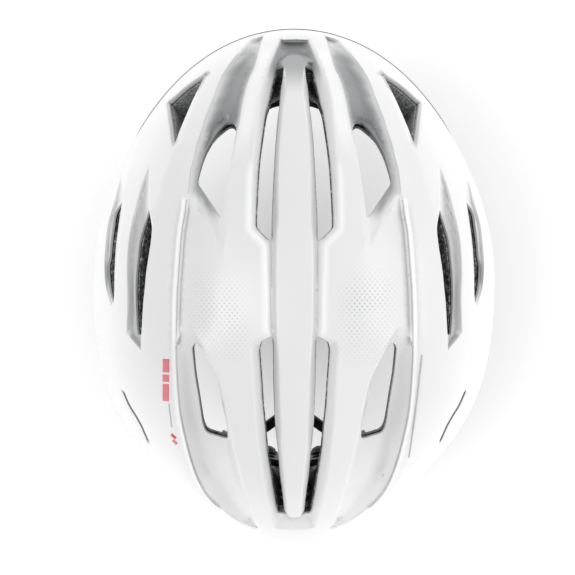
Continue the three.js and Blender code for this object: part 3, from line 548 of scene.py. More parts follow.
T = np.asarray(T)
soft_ = sstep(D, 2.2, 5.0) * inside(L_FCH_POLY, np.stack([np.abs(XY[:, 0]), XY[:, 1]], 1))
soft_ = np.maximum(soft_, sstep(XY[:, 1], 98, 104) * (np.abs(XY[:, 0]) > 24) * sstep(D, 0.4, 1.6))
D = relax(D, T, 0.75 * soft_, 7)
SD, SK = sink(N)
TOP = P - SD * (D * SK)[:, None]
SH_T = 1.3
vs, fs = thick(T, TOP, TOP - N * SH_T)
upper = build("shell_upper", vs, fs, 42)
ax_, ay_ = np.abs(XY[:, 0]), XY[:, 1]
m_ = np.stack([ax_, ay_], 1)
fch_ = inside(L_FCH_POLY, m_) & (ay_ < -24)
# painted shade: the shell is drawn towards grey where shade falls, in the front channel, the mouth and the rib's nose,
# the rear slit, the side and outer recesses, the rear channel, the tray walls, round the brow vents and beside the
# ridge
painted_shade = sstep(D, 0.6, 5.0) * (1 - sstep(ay_, -52, -26)) * fch_
# painted shade: a grey band on the inner wall of the front channel, under the crest
df_ = np.full(len(ax_), 99.0)
PM0 = P.copy()
PM0[:, 0] = np.abs(PM0[:, 0])
df_[fch_] = dist_to(L_FIN, PM0[fch_], 1)
painted_shade = 1.2 * painted_shade
painted_shade = np.maximum(painted_shade, 0.70 * sstep(df_, 0.1, 0.8) * (1 - sstep(df_, 2.4, 3.6)) * fch_ * (1 - sstep(ay_, -88, -60)))
in_mouth = inside(np.vstack([L_CENTRE, L_RIB[::-1]]), m_) * (ay_ < -100)
painted_shade = np.maximum(painted_shade, 1.3 * sstep(D, 0.8, 3.0) * in_mouth * (1 - sstep(ay_, -119, -107)))
nr_ = (ay_ < -94) & (ax_ < 12)
dn_ = np.full(len(ax_), 99.0)
dn_[nr_] = dist_to(L_RIB, np.column_stack([np.abs(P[nr_, 0]), P[nr_, 1:]]), 1)
on_rib = inside(L_RIB_HALF, m_) | (dn_ < 0.5)
painted_shade = np.maximum(painted_shade, 1.25 * sstep(-ay_, 99, 119) * on_rib)
near_ = (ax_ > 70) & (ay_ > 45) & (ay_ < 92)
dslit = np.full(len(ax_), 99.0)
PM = P.copy()
PM[:, 0] = np.abs(PM[:, 0])
dslit[near_] = dist_to(REAR_SLIT, PM[near_], 1)
painted_shade = np.maximum(painted_shade, 0.8 * (1 - sstep(dslit, 0.5, 1.3)))
painted_shade = np.maximum(painted_shade, 0.42 * sstep(D, 1.0, 4.0) * (inside(L_SIDE, m_) | inside(L_OUTER, m_)))
painted_shade = np.maximum(painted_shade, 0.22 * sstep(D, 2.0, 6.0) * inside(L_RCH_POLY, m_) * (1 - sstep(ay_, 60, 100)))
tray_ = inside(np.vstack([L_CENTRE, L_RIB[::-1]]), m_) & (ay_ > -112) & (ay_ < 128)
dr_ = np.full(len(ax_), 99.0)
dr_[tray_] = dist_to(L_RIB, PM[tray_])
painted_shade = np.maximum(painted_shade, (0.30 * sstep(dr_, 0.1, 0.9) * (1 - sstep(dr_, 2.4, 4.2)) + 0.07 * sstep(D, 1.0, 4.0)) * tray_)
rg_ = (ax_ > 34) & (ay_ > -50) & (ay_ < 40) & (U < 1)
dg_ = np.full(len(ax_), 99.0)
dg_[rg_] = dist_to(L_RIDGE, PM[rg_])
bc_ = HOLES["brow"].mean(0)
br_ = (ax_ > 38) & (ax_ < 80) & (ay_ < -66)
bx_, by_ = ax_ - abs(bc_[0]), ay_ - bc_[1]
side_ = np.maximum(sstep(bx_ * 0.9 - by_ * 0.12, -1.0, 1.5), sstep(bx_ * 0.55 - by_ * 0.83, 1.5, 4.0))
db_ = np.full(len(ax_), 99.0)
BP_ = np.abs(HOLES["brow"]) * np.array([1.0, -1.0])
db_[br_] = dist_to(np.vstack([BP_, BP_[:1]]), PM[br_], 1)
painted_shade = np.maximum(painted_shade, 0.75 * (1 - sstep(db_, 1.5, 2.5)) * side_)
within = inside(np.vstack([L_RIDGE[:140], [[40, 118], [20, 60], [20, -60], [50, -60]]]), m_)
painted_shade = np.maximum(painted_shade, (0.34 * np.exp(-((dg_ - 2.4) / 0.9) ** 2) * within + 0.20 * np.exp(-((dg_ - 2.4) / 1.0) ** 2) * (1 - within)) * sstep(ay_, -46, -38) * (1 - sstep(ay_, 22, 38)))
# painted highlight: paler where the bevels catch the light: the edge of the centre tray, the outer ridge, the strips
# beside the mouth
painted_highlight = np.zeros(len(ax_))
dc_ = np.full(len(ax_), 99.0)
cz_ = (ay_ > -72) & (ay_ < 30) & (ax_ > 8) & (ax_ < 28)
dc_[cz_] = dist_to(L_CENTRE, PM[cz_], 1)
painted_highlight = np.maximum(painted_highlight, (1 - sstep(dc_, 1.0, 2.2)) * sstep(ay_, -68, -58) * (1 - sstep(ay_, 20, 26)))
painted_highlight = np.maximum(painted_highlight, (1 - sstep(dg_, 1.2, 2.0)) * sstep(ay_, -50, -44) * (1 - sstep(ay_, 18, 34)))
strip_ = (ay_ < -62) & (ay_ > -136) & (ax_ > 8) & (ax_ < 40) & ~inside(L_FCH_POLY, m_) & ~inside(np.vstack([L_CENTRE, L_RIB[::-1]]), m_)
ds_ = np.full(len(ax_), 99.0)
ds_[strip_] = dist_to(L_FIN, PM[strip_], 1)
painted_highlight = np.maximum(painted_highlight, 0.9 * sstep(ds_, 0.2, 1.2) * (1 - sstep(ds_, 5.5, 9.0)) * (1 - sstep(ay_, -86, -62)) * sstep(ay_, -132, -122))
painted_highlight = 0.72 * painted_highlight * (1 - np.clip(painted_shade, 0, 1))
ac = upper.data.attributes.new("painted_highlight", "FLOAT", "POINT")
ac.data.foreach_set("value", np.concatenate([painted_highlight, painted_highlight * 0]).tolist())
# painted shade stored per point; the shell's underside gets at least 0.6 of it
at = upper.data.attributes.new("painted_shade", "FLOAT", "POINT")
at.data.foreach_set("value", np.concatenate([painted_shade, np.maximum(painted_shade, 0.6)]).tolist())
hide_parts("outer_shell")
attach(upper, "helmet")

# ---------------------------------------------------------------- lower shell: a swept rim strip with a rolled lip
na = 300
aa = np.linspace(0, 2 * np.pi, na, endpoint=False)
us = u_split(aa)
prof = []                                     # (share of the way to the rim, inset)
for t in np.linspace(0, 1, 9):
    prof.append((t, 0.0))
prof[0] = (0.0, 0.55)
prof.insert(1, (0.012, 0.12))
prof += [(1.012, 0.5), (1.016, 1.1), (1.008, 3.6), (0.985, 3.7), (0.975, 1.5)]
prof += [(t, 1.35) for t in np.linspace(0.93, 0.0, 6)]
grid = []
for t, off in prof:
    u = us + 0.011 + (2.0 - us - 0.011) * t
    p, n = shell_point(aa, u), surface_normal(shell_point, aa, u)
    grid.append(p - n * off)
m = len(grid)
vs = np.vstack(grid)
fs = []
for j in range(m):
    for i in range(na):
        k, l = (i + 1) % na, (j + 1) % m
        fs.append((j * na + i, l * na + i, l * na + k, j * na + k))
lower = build("shell_lower", vs, fs, 50)
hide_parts("lower_shell")
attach(lower, "helmet")

# band at the real join between the two shells; its dark grey is painted shadow of the gap there
prof = [(-0.005, 0.95), (-0.004, -0.05), (0.002, -0.45), (0.011, -0.50), (0.016, 0.95)]
proud = sstep(np.cos(aa), 0.25, 0.6)             # the tape stands proud round the front only
grid = []
for t, off in prof:
    u = us + t
    p, n = shell_point(aa, u), surface_normal(shell_point, aa, u)
    o_ = off if off > 0.5 else off * proud + 0.16 * (1 - proud)
    grid.append(p - n * np.reshape(o_, (-1, 1)))
m = len(grid)
vs = np.vstack(grid)
fs = [(j * na + i, ((j + 1) % m) * na + i, ((j + 1) % m) * na + (i + 1) % na, j * na + (i + 1) % na) for j in range(m) for i in range(na)]
seam_shadow = build("seam_shadow_band", vs, fs, 40)
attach(seam_shadow, "helmet")

# ---------------------------------------------------------------- foam liner
def widen(key, h):
    """The foam stands back a little from the outer edge of the long side vents."""
    h = np.array(h, float)
    by = {"front_channel": 1.9, "rear_channel": 0.7}.get(key, 0.0)
    if by:
        c_ = h.mean(0)
        s_ = np.sign(c_[0])
        o_ = sstep((h[:, 0] - c_[0]) * s_, -3.0, 3.0)
        h[:, 0] += s_ * by * o_
    return h


EH = [widen(k_, shrink(h, 0.4)) for k_, h in HOLES.items()]
E2, ET = triangulate(EH, [], 3.2, (1.0, 2.4), lambda a: np.full(np.shape(a), 2.0), 240)
EA, EU = dom_au(E2)
EXY, EP = plan_of(EA, EU)
EN = surface_normal(shell_point, EA, EU)
ED = depth_field(EXY, EP, EU)
for ox, oy in ((1.4, 0), (-1.4, 0), (0, 1.4), (0, -1.4)):
    q = EXY + np.array([ox, oy])
    qa, qu = au_of(q)
    qa, qu = np.where(EU < 0.93, qa, EA), np.where(EU < 0.93, qu, EU)
    qxy, qp = plan_of(qa, qu)
    ED = np.maximum(ED, depth_field(qxy, qp, qu))
EM_ = np.stack([np.abs(EXY[:, 0]), EXY[:, 1]], 1)
ED = ED + sstep(ED, 0.3, 1.6) * (1.3 * (inside(L_FCH_POLY, EM_) & (EXY[:, 1] < -24)) + 3.0 * sstep(EXY[:, 1], 66, 84) * (EM_[:, 0] > 24) * (EU < 0.99))
ESD, ESK = sink(EN)
ETOP = EP - ESD * (ED * ESK)[:, None] - EN * (SH_T + 0.8)
R_, CR_ = series(OUT_C, EA), 1 / np.hypot(np.sin(EA) / CAV["x"], np.cos(EA) / np.where(np.cos(EA) > 0, CAV["front"], CAV["rear"]))
rT = R_ * np.sin(np.clip(EU, 0, 1) * np.pi / 2)
LIM = 0.75 + 0.19 * sstep(np.abs(np.cos(EA)), 0.42, 0.74)
u1 = np.arcsin(np.clip(LIM * CR_ / R_, 0, 1)) / (np.pi / 2)
uc_in = np.arcsin(np.clip(rT / CR_, 0, LIM)) / (np.pi / 2)
uc1 = np.arcsin(LIM) / (math.pi / 2)
uc = np.where(EU <= u1, uc_in, uc1 + (2.0 - uc1) * (np.maximum(EU - u1, 0) / (2.0 - u1)) ** 1.25)
EI = cavity_point(EA, uc)
CN = surface_normal(cavity_point, EA, uc)
# air grooves inside, from the front vents back to the rear ones
ax, ay = np.abs(EI[:, 0]), EI[:, 1]
g = 6.5 * (1 - sstep(np.abs(ax - 14.2), 3.0, 6.5)) * (1 - sstep(np.abs(ay), 92, 104))
cx = 44 - 0.0016 * (ay) ** 2
g2 = 6.0 * (1 - sstep(np.abs(ax - cx), 4.5, 8.5)) * (1 - sstep(np.abs(ay + 4), 60, 78))
lim = sstep(EI[:, 2], 12, 30)
rim_round = 2.0 * sstep(uc, 1.90, 2.0)
EI = EI + CN * rim_round[:, None]
EI[:, 2] += np.maximum(g, g2) * lim
# underside of the rim follows the shell's edge
edge = uc > 1.999
low = EI.copy()
rimz = shell_point(EA, np.full(len(EA), 2.0))[:, 2]
k = np.clip((uc - 1.0), 0, 1)
low[:, 2] = np.where(uc > 1.0, EI[:, 2] * 0 + (0 - k * (-(rimz + 3.0 - 0.0))), EI[:, 2])
low[:, 2] = np.where(uc > 1.0, k * (rimz + 2.5), EI[:, 2])
EI = low
vs, fs = thick(ET, ETOP, EI, rows=5)
foam = build("foam_liner", vs, fs, 48)
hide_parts("eps_liner")
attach(foam, "helmet")
print("faces", len(upper.data.polygons), len(lower.data.polygons), len(foam.data.polygons))


# ---------------------------------------------------------------- pads, straps and the head retention system
rad = math.radians


def cav_off(a, u, off):
    """Point off the head cavity's surface, towards the head."""
    a, u = np.asarray(a, float), np.asarray(u, float)
    return cavity_point(a, u) - surface_normal(cavity_point, a, u) * np.asarray(off)[..., None]


def cav_z(x, y):
    q = np.hypot(x / CAV["x"], y / np.where(y < 0, CAV["front"], CAV["rear"]))
    return CAV["z"] * np.maximum(1 - q ** CAV["n"], 0) ** (1 / CAV["n"])


def square_to_pill(n, m, corner=0.45):
    """Grid on a square drawn in to rounded corners: s, t in -1..1, and the grid's share of the way to the edge."""
    s, t = np.meshgrid(np.linspace(-1, 1, n), np.linspace(-1, 1, m), indexing="ij")
    e = np.maximum(np.abs(s), np.abs(t))
    k = corner
    ss = s * np.sqrt(np.maximum(1 - k * t * t / 2, 0))
    tt = t * np.sqrt(np.maximum(1 - k * s * s / 2, 0))
    return ss, tt, e


def mirror(o, name):
    me = o.data.copy()
    me.name = name
    co = np.empty(len(me.vertices) * 3)
    me.vertices.foreach_get("co", co)
    co = co.reshape(-1, 3) * np.array([-1, 1, 1])
    me.vertices.foreach_set("co", co.ravel())
    me.flip_normals()
    me.update()
    n = bpy.data.objects.new(name, me)
    bpy.context.scene.collection.objects.link(n)
    return n


def puff(name, place, n, m, back, front, channels=(), seed=0, cap=2.2, corner=0.45):
    """Sewn pad. place(s, t, off) gives a point; the back sheet and its sewn edge are held, the front sheet is blown up as cloth."""
    s, t, e = square_to_pill(n, m, corner)
    flange = back + 0.9
    rise = np.clip((1 - e) / 0.32, 0, 1)
    rise = np.sqrt(np.maximum(1 - (1 - rise) ** 2, 0))
    hold = e > 0.93
    sew = np.zeros_like(e, bool)
    dip = np.ones_like(e)
    for axis, pos in channels:
        v = s if axis == "s" else t
        step = 2.0 / ((n if axis == "s" else m) - 1)
        sew |= (np.abs(v - pos) < step * 0.6) & (e < 0.93)
        dip = np.minimum(dip, 0.30 + 0.70 * sstep(np.abs(v - pos), 0.0, 0.16))
    top = place(s, t, flange + (front - flange - 1.0) * rise * dip)
    bot = place(s, t, np.full(s.shape, back))
    V = np.vstack([top.reshape(-1, 3), bot.reshape(-1, 3)])
    k = n * m
    ix = np.arange(k).reshape(n, m)
    F = []
    for i in range(n - 1):
        for j in range(m - 1):
            F.append((ix[i, j], ix[i + 1, j], ix[i + 1, j + 1], ix[i, j + 1]))
            F.append((k + ix[i, j + 1], k + ix[i + 1, j + 1], k + ix[i + 1, j], k + ix[i, j]))
    ring = list(ix[:, 0]) + list(ix[-1, 1:]) + list(ix[::-1, -1][1:]) + list(ix[0, ::-1][1:-1])
    for p, q in zip(ring, ring[1:] + ring[:1]):
        F.append((p, k + p, k + q, q))
    o = build(name, V, F, None)
    bm = bmesh.new()
    bm.from_mesh(o.data)
    bmesh.ops.recalc_face_normals(bm, faces=bm.faces)
    bm.to_mesh(o.data)
    bm.free()
    rest = V / 1000.0
    g = o.vertex_groups.new(name="held")
    g.add([int(i) for i in range(k, 2 * k)] + [int(i) for i in ix[hold | sew]], 1.0, "REPLACE")
    for ob in bpy.context.selected_objects:
        ob.select_set(False)
    md = o.modifiers.new("cloth", "CLOTH")
    c = md.settings
    c.quality = 5
    c.mass = 0.15
    c.tension_stiffness = c.compression_stiffness = 6.0
    c.shear_stiffness = 3.0
    c.bending_stiffness = 0.02
    c.shrink_min = -0.10
    c.use_pressure = True
    c.uniform_pressure_force = 1.4
    c.vertex_group_mass = "held"
    c.effector_weights.gravity = 0.0
    md.collision_settings.use_collision = False
    md.point_cache.frame_start, md.point_cache.frame_end = 1, 16
    for f in range(1, 17):
        bpy.context.scene.frame_set(f)
    dg = bpy.context.evaluated_depsgraph_get()
    em = o.evaluated_get(dg).to_mesh()
    co = np.empty(len(em.vertices) * 3)
    em.vertices.foreach_get("co", co)
    co = co.reshape(-1, 3)
    o.evaluated_get(dg).to_mesh_clear()
    o.modifiers.remove(md)
    bpy.context.scene.frame_set(1)
    d = co - rest
    L = np.linalg.norm(d, axis=1, keepdims=True)
    d *= np.minimum(1, cap / 1000.0 / np.maximum(L, 1e-9))
    if not np.isfinite(d).all():
        d = np.zeros_like(rest)
    fresh = rest + d
    o.data.vertices.foreach_set("co", fresh.ravel())
    o.vertex_groups.clear()
    sub = o.modifiers.new("sub", "SUBSURF")
    sub.levels = sub.render_levels = 1
    dg = bpy.context.evaluated_depsgraph_get()
    fine = bpy.data.meshes.new_from_object(o.evaluated_get(dg))
    o.modifiers.clear()
    o.data = fine
    o.data.polygons.foreach_set("use_smooth", [True] * len(o.data.polygons))
    o["ring"] = [0]
    return o, ring, V


def tube(name, pts_mm, r, sides=8, closed=True):
    """Round cord along points, as one closed mesh."""
    P_ = np.asarray(pts_mm, float)
    n = len(P_)
    t = (np.roll(P_, -1, 0) - np.roll(P_, 1, 0)) if closed else np.gradient(P_, axis=0)
    t /= np.linalg.norm(t, axis=1, keepdims=True) + 1e-9
    up = np.zeros_like(t)
    ref = np.array([0, 0, 1.0]) if abs(t[0, 2]) < 0.9 else np.array([1.0, 0, 0])
    x = np.cross(t[0], ref)
    for i in range(n):
        x = x - t[i] * (x @ t[i])
        x /= np.linalg.norm(x) + 1e-9
        up[i] = x
    if closed:                                   # take the twist out evenly
        x = up[-1] - t[0] * (up[-1] @ t[0])
        x /= np.linalg.norm(x)
        ang = math.atan2(float(np.cross(x, up[0]) @ t[0]), float(x @ up[0]))
        for i in range(n):
            a_ = ang * i / n
            up[i] = up[i] * math.cos(a_) + np.cross(t[i], up[i]) * math.sin(a_)
    side = np.cross(t, up)
    V, F = [], []
    for k in range(sides):
        a_ = 2 * math.pi * k / sides
        V.append(P_ + r * (up * math.cos(a_) + side * math.sin(a_)))
    V = np.stack(V, 1).reshape(-1, 3)
    for i in range(n if closed else n - 1):
        j = (i + 1) % n
        for k in range(sides):
            l = (k + 1) % sides
            F.append((i * sides + k, i * sides + l, j * sides + l, j * sides + k))
    if not closed:
        F.append(tuple(range(sides))[::-1])
        F.append(tuple((n - 1) * sides + k for k in range(sides)))
    return build(name, V, F, None)


def pad_set(name, nodes, place, n, m, back, front, channels, body, mirrored=None, corner=0.45, cap=2.2):
    """The pad, its bound edge, and their mirrored copies."""
    o, ring, V = puff(name, place, n, m, back, front, channels, cap=cap, corner=corner)
    edge_ = V[ring]
    k = len(V) // 2
    low = V[[k + i for i in ring]]
    mid = 0.45 * edge_ + 0.55 * low
    b = tube(name + "_binding", mid, 0.95, 8)
    out = [(o, b, nodes[0])]
    if mirrored:
        out.append((mirror(o, mirrored), mirror(b, mirrored + "_binding"), nodes[1]))
    for o_, b_, node in out:
        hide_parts(node)
        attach(o_, body)
        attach(b_, body)
        PADS.append(o_)
        BINDINGS.append(b_)


PADS, BINDINGS, STRAPS, PLASTIC = [], [], [], []


def on_cavity(a0, a1, u0, u1):
    def f(s, t, off):
        return cav_off(rad((a0 + a1) / 2) + rad((a1 - a0) / 2) * s, (u0 + u1) / 2 + (u1 - u0) / 2 * t, off)
    return f


def on_top(x0, x1, y0, y1):
    def f(s, t, off):
        x, y = (x0 + x1) / 2 + (x1 - x0) / 2 * s, (y0 + y1) / 2 + (y1 - y0) / 2 * t
        e_ = 0.5
        z = cav_z(x, y)
        nx, ny = (cav_z(x - e_, y) - cav_z(x + e_, y)) / (2 * e_), (cav_z(x, y - e_) - cav_z(x, y + e_)) / (2 * e_)
        nn = np.stack([nx, ny, np.ones_like(nx)], -1)
        return np.stack([x, y, z - off], -1)
    return f


pad_set("pad_brow", ["brow_pad"], on_cavity(-48, 48, 0.885, 0.985), 61, 13, 1.8, 7.0, [("s", -0.34), ("s", 0.34)], "helmet", corner=0.35)
pad_set("pad_crown_centre", ["crown_pad_centre"], on_top(-26, 26, -19, 19), 31, 23, 2.0, 7.6, [("t", 0.0)], "helmet")
pad_set("pad_crown_left", ["crown_pad_left", "crown_pad_right"], on_top(31, 58, -20, 18), 19, 25, 2.4, 8.0, [("t", 0.0)], "helmet", "pad_crown_right")
pad_set("pad_side_left", ["side_pad_left", "side_pad_right"], on_cavity(72, 118, 0.58, 0.78), 35, 15, 1.8, 7.2, [("s", 0.0)], "helmet", "pad_side_right")
pad_set("pad_occipital_left", ["occipital_pad_left", "occipital_pad_right"], on_cavity(155.5, 173.5, 1 + 47 / 70, 1 + 67 / 70), 21, 15, 6.0, 9.3, [], "cradle", "pad_occipital_right", cap=1.4)


# ---------------------------------------------------------------- webbing
def catmull(st, per):
    A_ = np.array(st, float)
    A_ = np.vstack([2 * A_[0] - A_[1], A_, 2 * A_[-1] - A_[-2]])
    out = []
    for i in range(1, len(A_) - 2):
        p0, p1, p2, p3 = A_[i - 1:i + 3]
        for j in range(per):
            t = j / per
            out.append(0.5 * (2 * p1 + (p2 - p0) * t + (2 * p0 - 5 * p1 + 4 * p2 - p3) * t * t + (3 * p1 - p0 - 3 * p2 + p3) * t ** 3))
    out.append(A_[-2])
    return np.array(out)


def strap(name, stations, w, t, node, body="helmet", cols=13, step=1.3, wave=0.0):
    """Flat woven band along the stations [x, y, z, width direction], with rounded thicker edges and texture coordinates in mm."""
    C = catmull(stations, 24)
    seg = np.linalg.norm(np.diff(C[:, :3], axis=0), axis=1)
    cum = np.concatenate([[0], np.cumsum(seg)])
    n = max(4, int(cum[-1] / step))
    s = np.linspace(0, cum[-1], n)
    P_ = np.stack([np.interp(s, cum, C[:, k]) for k in range(6)], 1)
    c, wd = P_[:, :3], P_[:, 3:]
    tan = np.gradient(c, axis=0)
    tan /= np.linalg.norm(tan, axis=1, keepdims=True)
    wd = wd - tan * (wd * tan).sum(1, keepdims=True)
    wd /= np.linalg.norm(wd, axis=1, keepdims=True)
    nn = np.cross(tan, wd)
    h = np.linspace(-1, 1, cols)
    prof = []
    for q in h:                                # slightly thicker selvedge, rounded at the very edge
        tt = t / 2 * (0.86 + 0.14 * sstep(abs(q), 0.66, 0.80)) * math.sqrt(max(1 - max(abs(q) - 0.9, 0) ** 2 / 0.0101, 0.02))
        prof.append((q * w / 2, tt))
    loop = [(a_, b_) for a_, b_ in prof] + [(a_, -b_) for a_, b_ in prof[::-1]]
    m = len(loop)
    V = np.stack([c + wd * a_ + nn * b_ for a_, b_ in loop], 1).reshape(-1, 3)
    F = []
    for i in range(n - 1):
        for k in range(m):
            l = (k + 1) % m
            F.append((i * m + k, i * m + l, (i + 1) * m + l, (i + 1) * m + k))
    F.append(tuple(range(m))[::-1])
    F.append(tuple((n - 1) * m + k for k in range(m)))
    o = build(name, V, F, 60)
    bm = bmesh.new()
    bm.from_mesh(o.data)
    bmesh.ops.recalc_face_normals(bm, faces=bm.faces)
    bm.to_mesh(o.data)
    bm.free()
    uv = o.data.uv_layers.new(name="UVMap")
    vi = np.empty(len(o.data.loops), np.int32)
    o.data.loops.foreach_get("vertex_index", vi)
    su, sv = np.repeat(s, m), np.tile([a_ for a_, _ in loop], n)
    uv.data.foreach_set("uv", np.stack([su[vi], sv[vi] + 20.0], 1).ravel())
    if node:
        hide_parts(node)
    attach(o, body)
    STRAPS.append(o)
    return o


FRONT_STRAP = [[89, -42, -9.9, 0, 1, 0], [88.5, -41.5, -18, 0, 1, 0], [85, -34, -34, 0, 0.9, 0.43], [78, -19, -54, 0, 0.82, 0.57], [72, -6.5, -66, 0, 0.95, 0.3], [70, -2.6, -71.7, 0, 1, 0]]
REAR_STRAP = [[65.1, 73, -39.7, -0.746, 0.665, 0], [65.3, 72, -46, -0.746, 0.665, 0], [66, 62, -54, -0.6, 0.6, -0.5], [67.8, 44, -63, -0.25, 0.45, -0.86], [69.3, 28, -72.5, 0, 0.3, -0.95], [70, 16.3, -79, 0, 0, -1]]


def flipped(st):
    return [[-a_, b_, c_, -d_, e_, f_] for a_, b_, c_, d_, e_, f_ in st]


for side_, fl in (("left", lambda s_: s_), ("right", flipped)):
    strap("webbing_front_" + side_, fl(FRONT_STRAP), 14.6, 1.6, "front_strap_" + side_)
    strap("webbing_rear_" + side_, fl(REAR_STRAP), 13.6, 1.6, "rear_strap_" + side_)
strap("webbing_chin_left", [[70, 3, -86.8, 0, 1, 0], [68.5, 2.4, -94, 0, 1, 0], [63, 1, -106, 0, 1, 0], [53, 0, -117, 0, 1, 0], [40, 0, -126, 0, 1, 0], [29, 0, -130.3, 0, 1, 0], [21.7, 0, -131, 0, 1, 0]], 14.6, 1.6, "chin_strap_left")
strap("webbing_chin_right", [[-70, 3, -86.8, 0, 1, 0], [-68.5, 2.2, -93, 0, 1, 0], [-62, 0, -102, 0, 1, 0], [-49, 0, -115, 0, 1, 0], [-36, 0, -128, 0, 1, 0], [-30.8, 0, -131, 0, 1, 0]], 14.6, 1.6, "chin_strap_right")
KQ = math.sqrt(0.5)
strap("webbing_tail", [[-36.8 - 2.2 * KQ, 0, -127.2 - 2.2 * KQ, 0, 1, 0], [-48 - 2.2 * KQ, 0, -116 - 2.2 * KQ, 0, 1, 0], [-62.5 - 2.2 * KQ, 0, -101.5 - 2.2 * KQ, 0, 1, 0]], 14.6, 1.6, "strap_tail")
print("soft pieces", len(PADS), len(STRAPS))


# ---------------------------------------------------------------- printed marks: plain bars
def patch(name, line, half, key, lift_=0.13):
    """Thin print laid on the shell along a line, half mm to each side."""
    L = np.array(line, float)
    seg = np.linalg.norm(np.diff(L, axis=0), axis=1)
    cum = np.concatenate([[0], np.cumsum(seg)])
    n = max(3, int(cum[-1] / 0.8))
    s = np.linspace(0, cum[-1], n)
    c = np.stack([np.interp(s, cum, L[:, 0]), np.interp(s, cum, L[:, 1])], 1)
    t = np.gradient(c, axis=0)
    t /= np.linalg.norm(t, axis=1, keepdims=True)
    nor = np.stack([-t[:, 1], t[:, 0]], 1)
    rows = []
    for k in (-1, -0.33, 0.33, 1):
        rows.append(c + nor * half * k)
    xy = np.stack(rows, 1).reshape(-1, 2)
    a_, u_ = au_of(xy)
    _, p_ = plan_of(a_, u_)
    nn = surface_normal(shell_point, a_, u_)
    d_ = depth_field(xy, p_, u_)
    sd, sk = sink(nn)
    top = p_ - sd * (d_ * sk)[:, None] + nn * lift_
    low = top - nn * (lift_ + 0.25)
    k = len(xy)
    V = np.vstack([top, low])
    F = []
    for i in range(n - 1):
        for j in range(3):
            q = (i * 4 + j, i * 4 + j + 1, (i + 1) * 4 + j + 1, (i + 1) * 4 + j)
            F.append(q)
            F.append(tuple(k + v for v in q[::-1]))
    ring = [i * 4 for i in range(n)] + [(n - 1) * 4 + j for j in (1, 2)] + [i * 4 + 3 for i in range(n - 1, -1, -1)] + [2, 1]
    for a0, b0 in zip(ring, ring[1:] + ring[:1]):
        F.append((a0, k + a0, k + b0, b0))
    o = build(name, V, F, None)
    bm = bmesh.new()
    bm.from_mesh(o.data)
    bmesh.ops.recalc_face_normals(bm, faces=bm.faces)
    bm.to_mesh(o.data)
    bm.free()
    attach(o, "helmet")
    DECALS.append((o, key))


DECALS = []
for i, (y0, y1) in enumerate(((36.6, 43.6), (44.8, 48.6), (49.8, 58.9))):
    x0 = 66.3 + 0.7 * (y0 - 36.6) / 22.3
    x1 = 66.3 + 0.7 * (y1 - 36.6) / 22.3
    patch("print_bar_%d" % (i + 1), [(x0, y0), (x1, y1)], 1.7, "print_rose")
patch("print_fine_left", [(65.4, 60.4), (64.9, 66.7), (64.3, 73.0)], 0.35, "print_grey")
patch("print_dash_upper", [(64.9, 77.0), (62.4, 79.2)], 0.75, "print_red")
patch("print_dash_lower", [(64.2, 80.2), (61.9, 82.4)], 0.75, "print_rose")
patch("print_fine_right", [(-60.9 - 0.0868 * (89.8 - y_), y_) for y_ in np.linspace(89.8, 34.5, 24)], 0.30, "print_grey", 0.30)


# ---------------------------------------------------------------- moulded pieces: the frame's shapes with rounded edges
def soften(o, width, segments=2, angle=32):
    """Rounds the hard edges of a closed mesh, width in mm."""
    bm = bmesh.new()
    bm.from_mesh(o.data)
    bmesh.ops.remove_doubles(bm, verts=bm.verts, dist=2e-6)
    bmesh.ops.dissolve_limit(bm, angle_limit=math.radians(0.6), verts=bm.verts, edges=bm.edges)
    hard = [e for e in bm.edges if len(e.link_faces) == 2 and e.calc_face_angle(0) > math.radians(angle)]
    bmesh.ops.bevel(bm, geom=hard, offset=width / 1000.0, offset_type="OFFSET", segments=segments, profile=0.6, affect="EDGES", clamp_overlap=True, miter_outer="ARC")
    bmesh.ops.remove_doubles(bm, verts=bm.verts, dist=1e-6)
    bmesh.ops.dissolve_degenerate(bm, dist=1e-7, edges=bm.edges)
    bmesh.ops.triangulate(bm, faces=[f for f in bm.faces if len(f.verts) > 4])
    bmesh.ops.recalc_face_normals(bm, faces=bm.faces)
    bm.to_mesh(o.data)
    bm.free()
    o.data.polygons.foreach_set("use_smooth", [True] * len(o.data.polygons))
    o.data.set_sharp_from_angle(angle=math.radians(48))
    o.data.update()


BODY_OF = {n_: b_ for b_, nodes_ in frame["record"]["behaviour"]["bodies"].items() for n_ in nodes_}


def remould(node, name, width, key="plastic", segments=2):
    src_ = frame["nodes"][node]
    me = src_.data.copy()
    me.name = name
    o = bpy.data.objects.new(name, me)
    bpy.context.scene.collection.objects.link(o)
    soften(o, width, segments)
    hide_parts(node)
    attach(o, BODY_OF.get(node, "helmet"))
    PLASTIC.append((o, key))
    return o


for sd_ in ("left", "right"):
    remould("divider_" + sd_, "divider_body_" + sd_, 0.7)
    remould("divider_lever_" + sd_, "divider_flap_" + sd_, 0.45)
    remould("strap_anchor_front_" + sd_, "anchor_front_" + sd_, 0.6)
    remould("strap_anchor_rear_" + sd_, "anchor_rear_" + sd_, 0.6)
    remould("temple_anchor_" + sd_, "temple_button_" + sd_, 0.5)
    remould("rack_" + sd_, "rack_strip_" + sd_, 0.16)
remould("buckle_base", "buckle_socket", 0.8)
remould("buckle_slider", "buckle_tongue", 0.8)
remould("base_magnet", "magnet_lower", 0.3, "magnet")
remould("slider_magnet", "magnet_upper", 0.3, "magnet")
remould("dial_housing", "dial_case", 1.2, segments=3)
remould("housing_cover", "dial_case_cover", 0.5)
remould("ratchet_ring", "dial_ratchet", 0.15)
remould("pinion", "dial_pinion", 0.18, "dial")
remould("pawl_spring", "dial_pawl", 0.3, "dial")
remould("strap_keeper", "keeper_loop", 0.5, "rubber")
remould("yoke", "yoke_strip", 0.6)
remould("yoke_anchor", "yoke_button", 0.6)


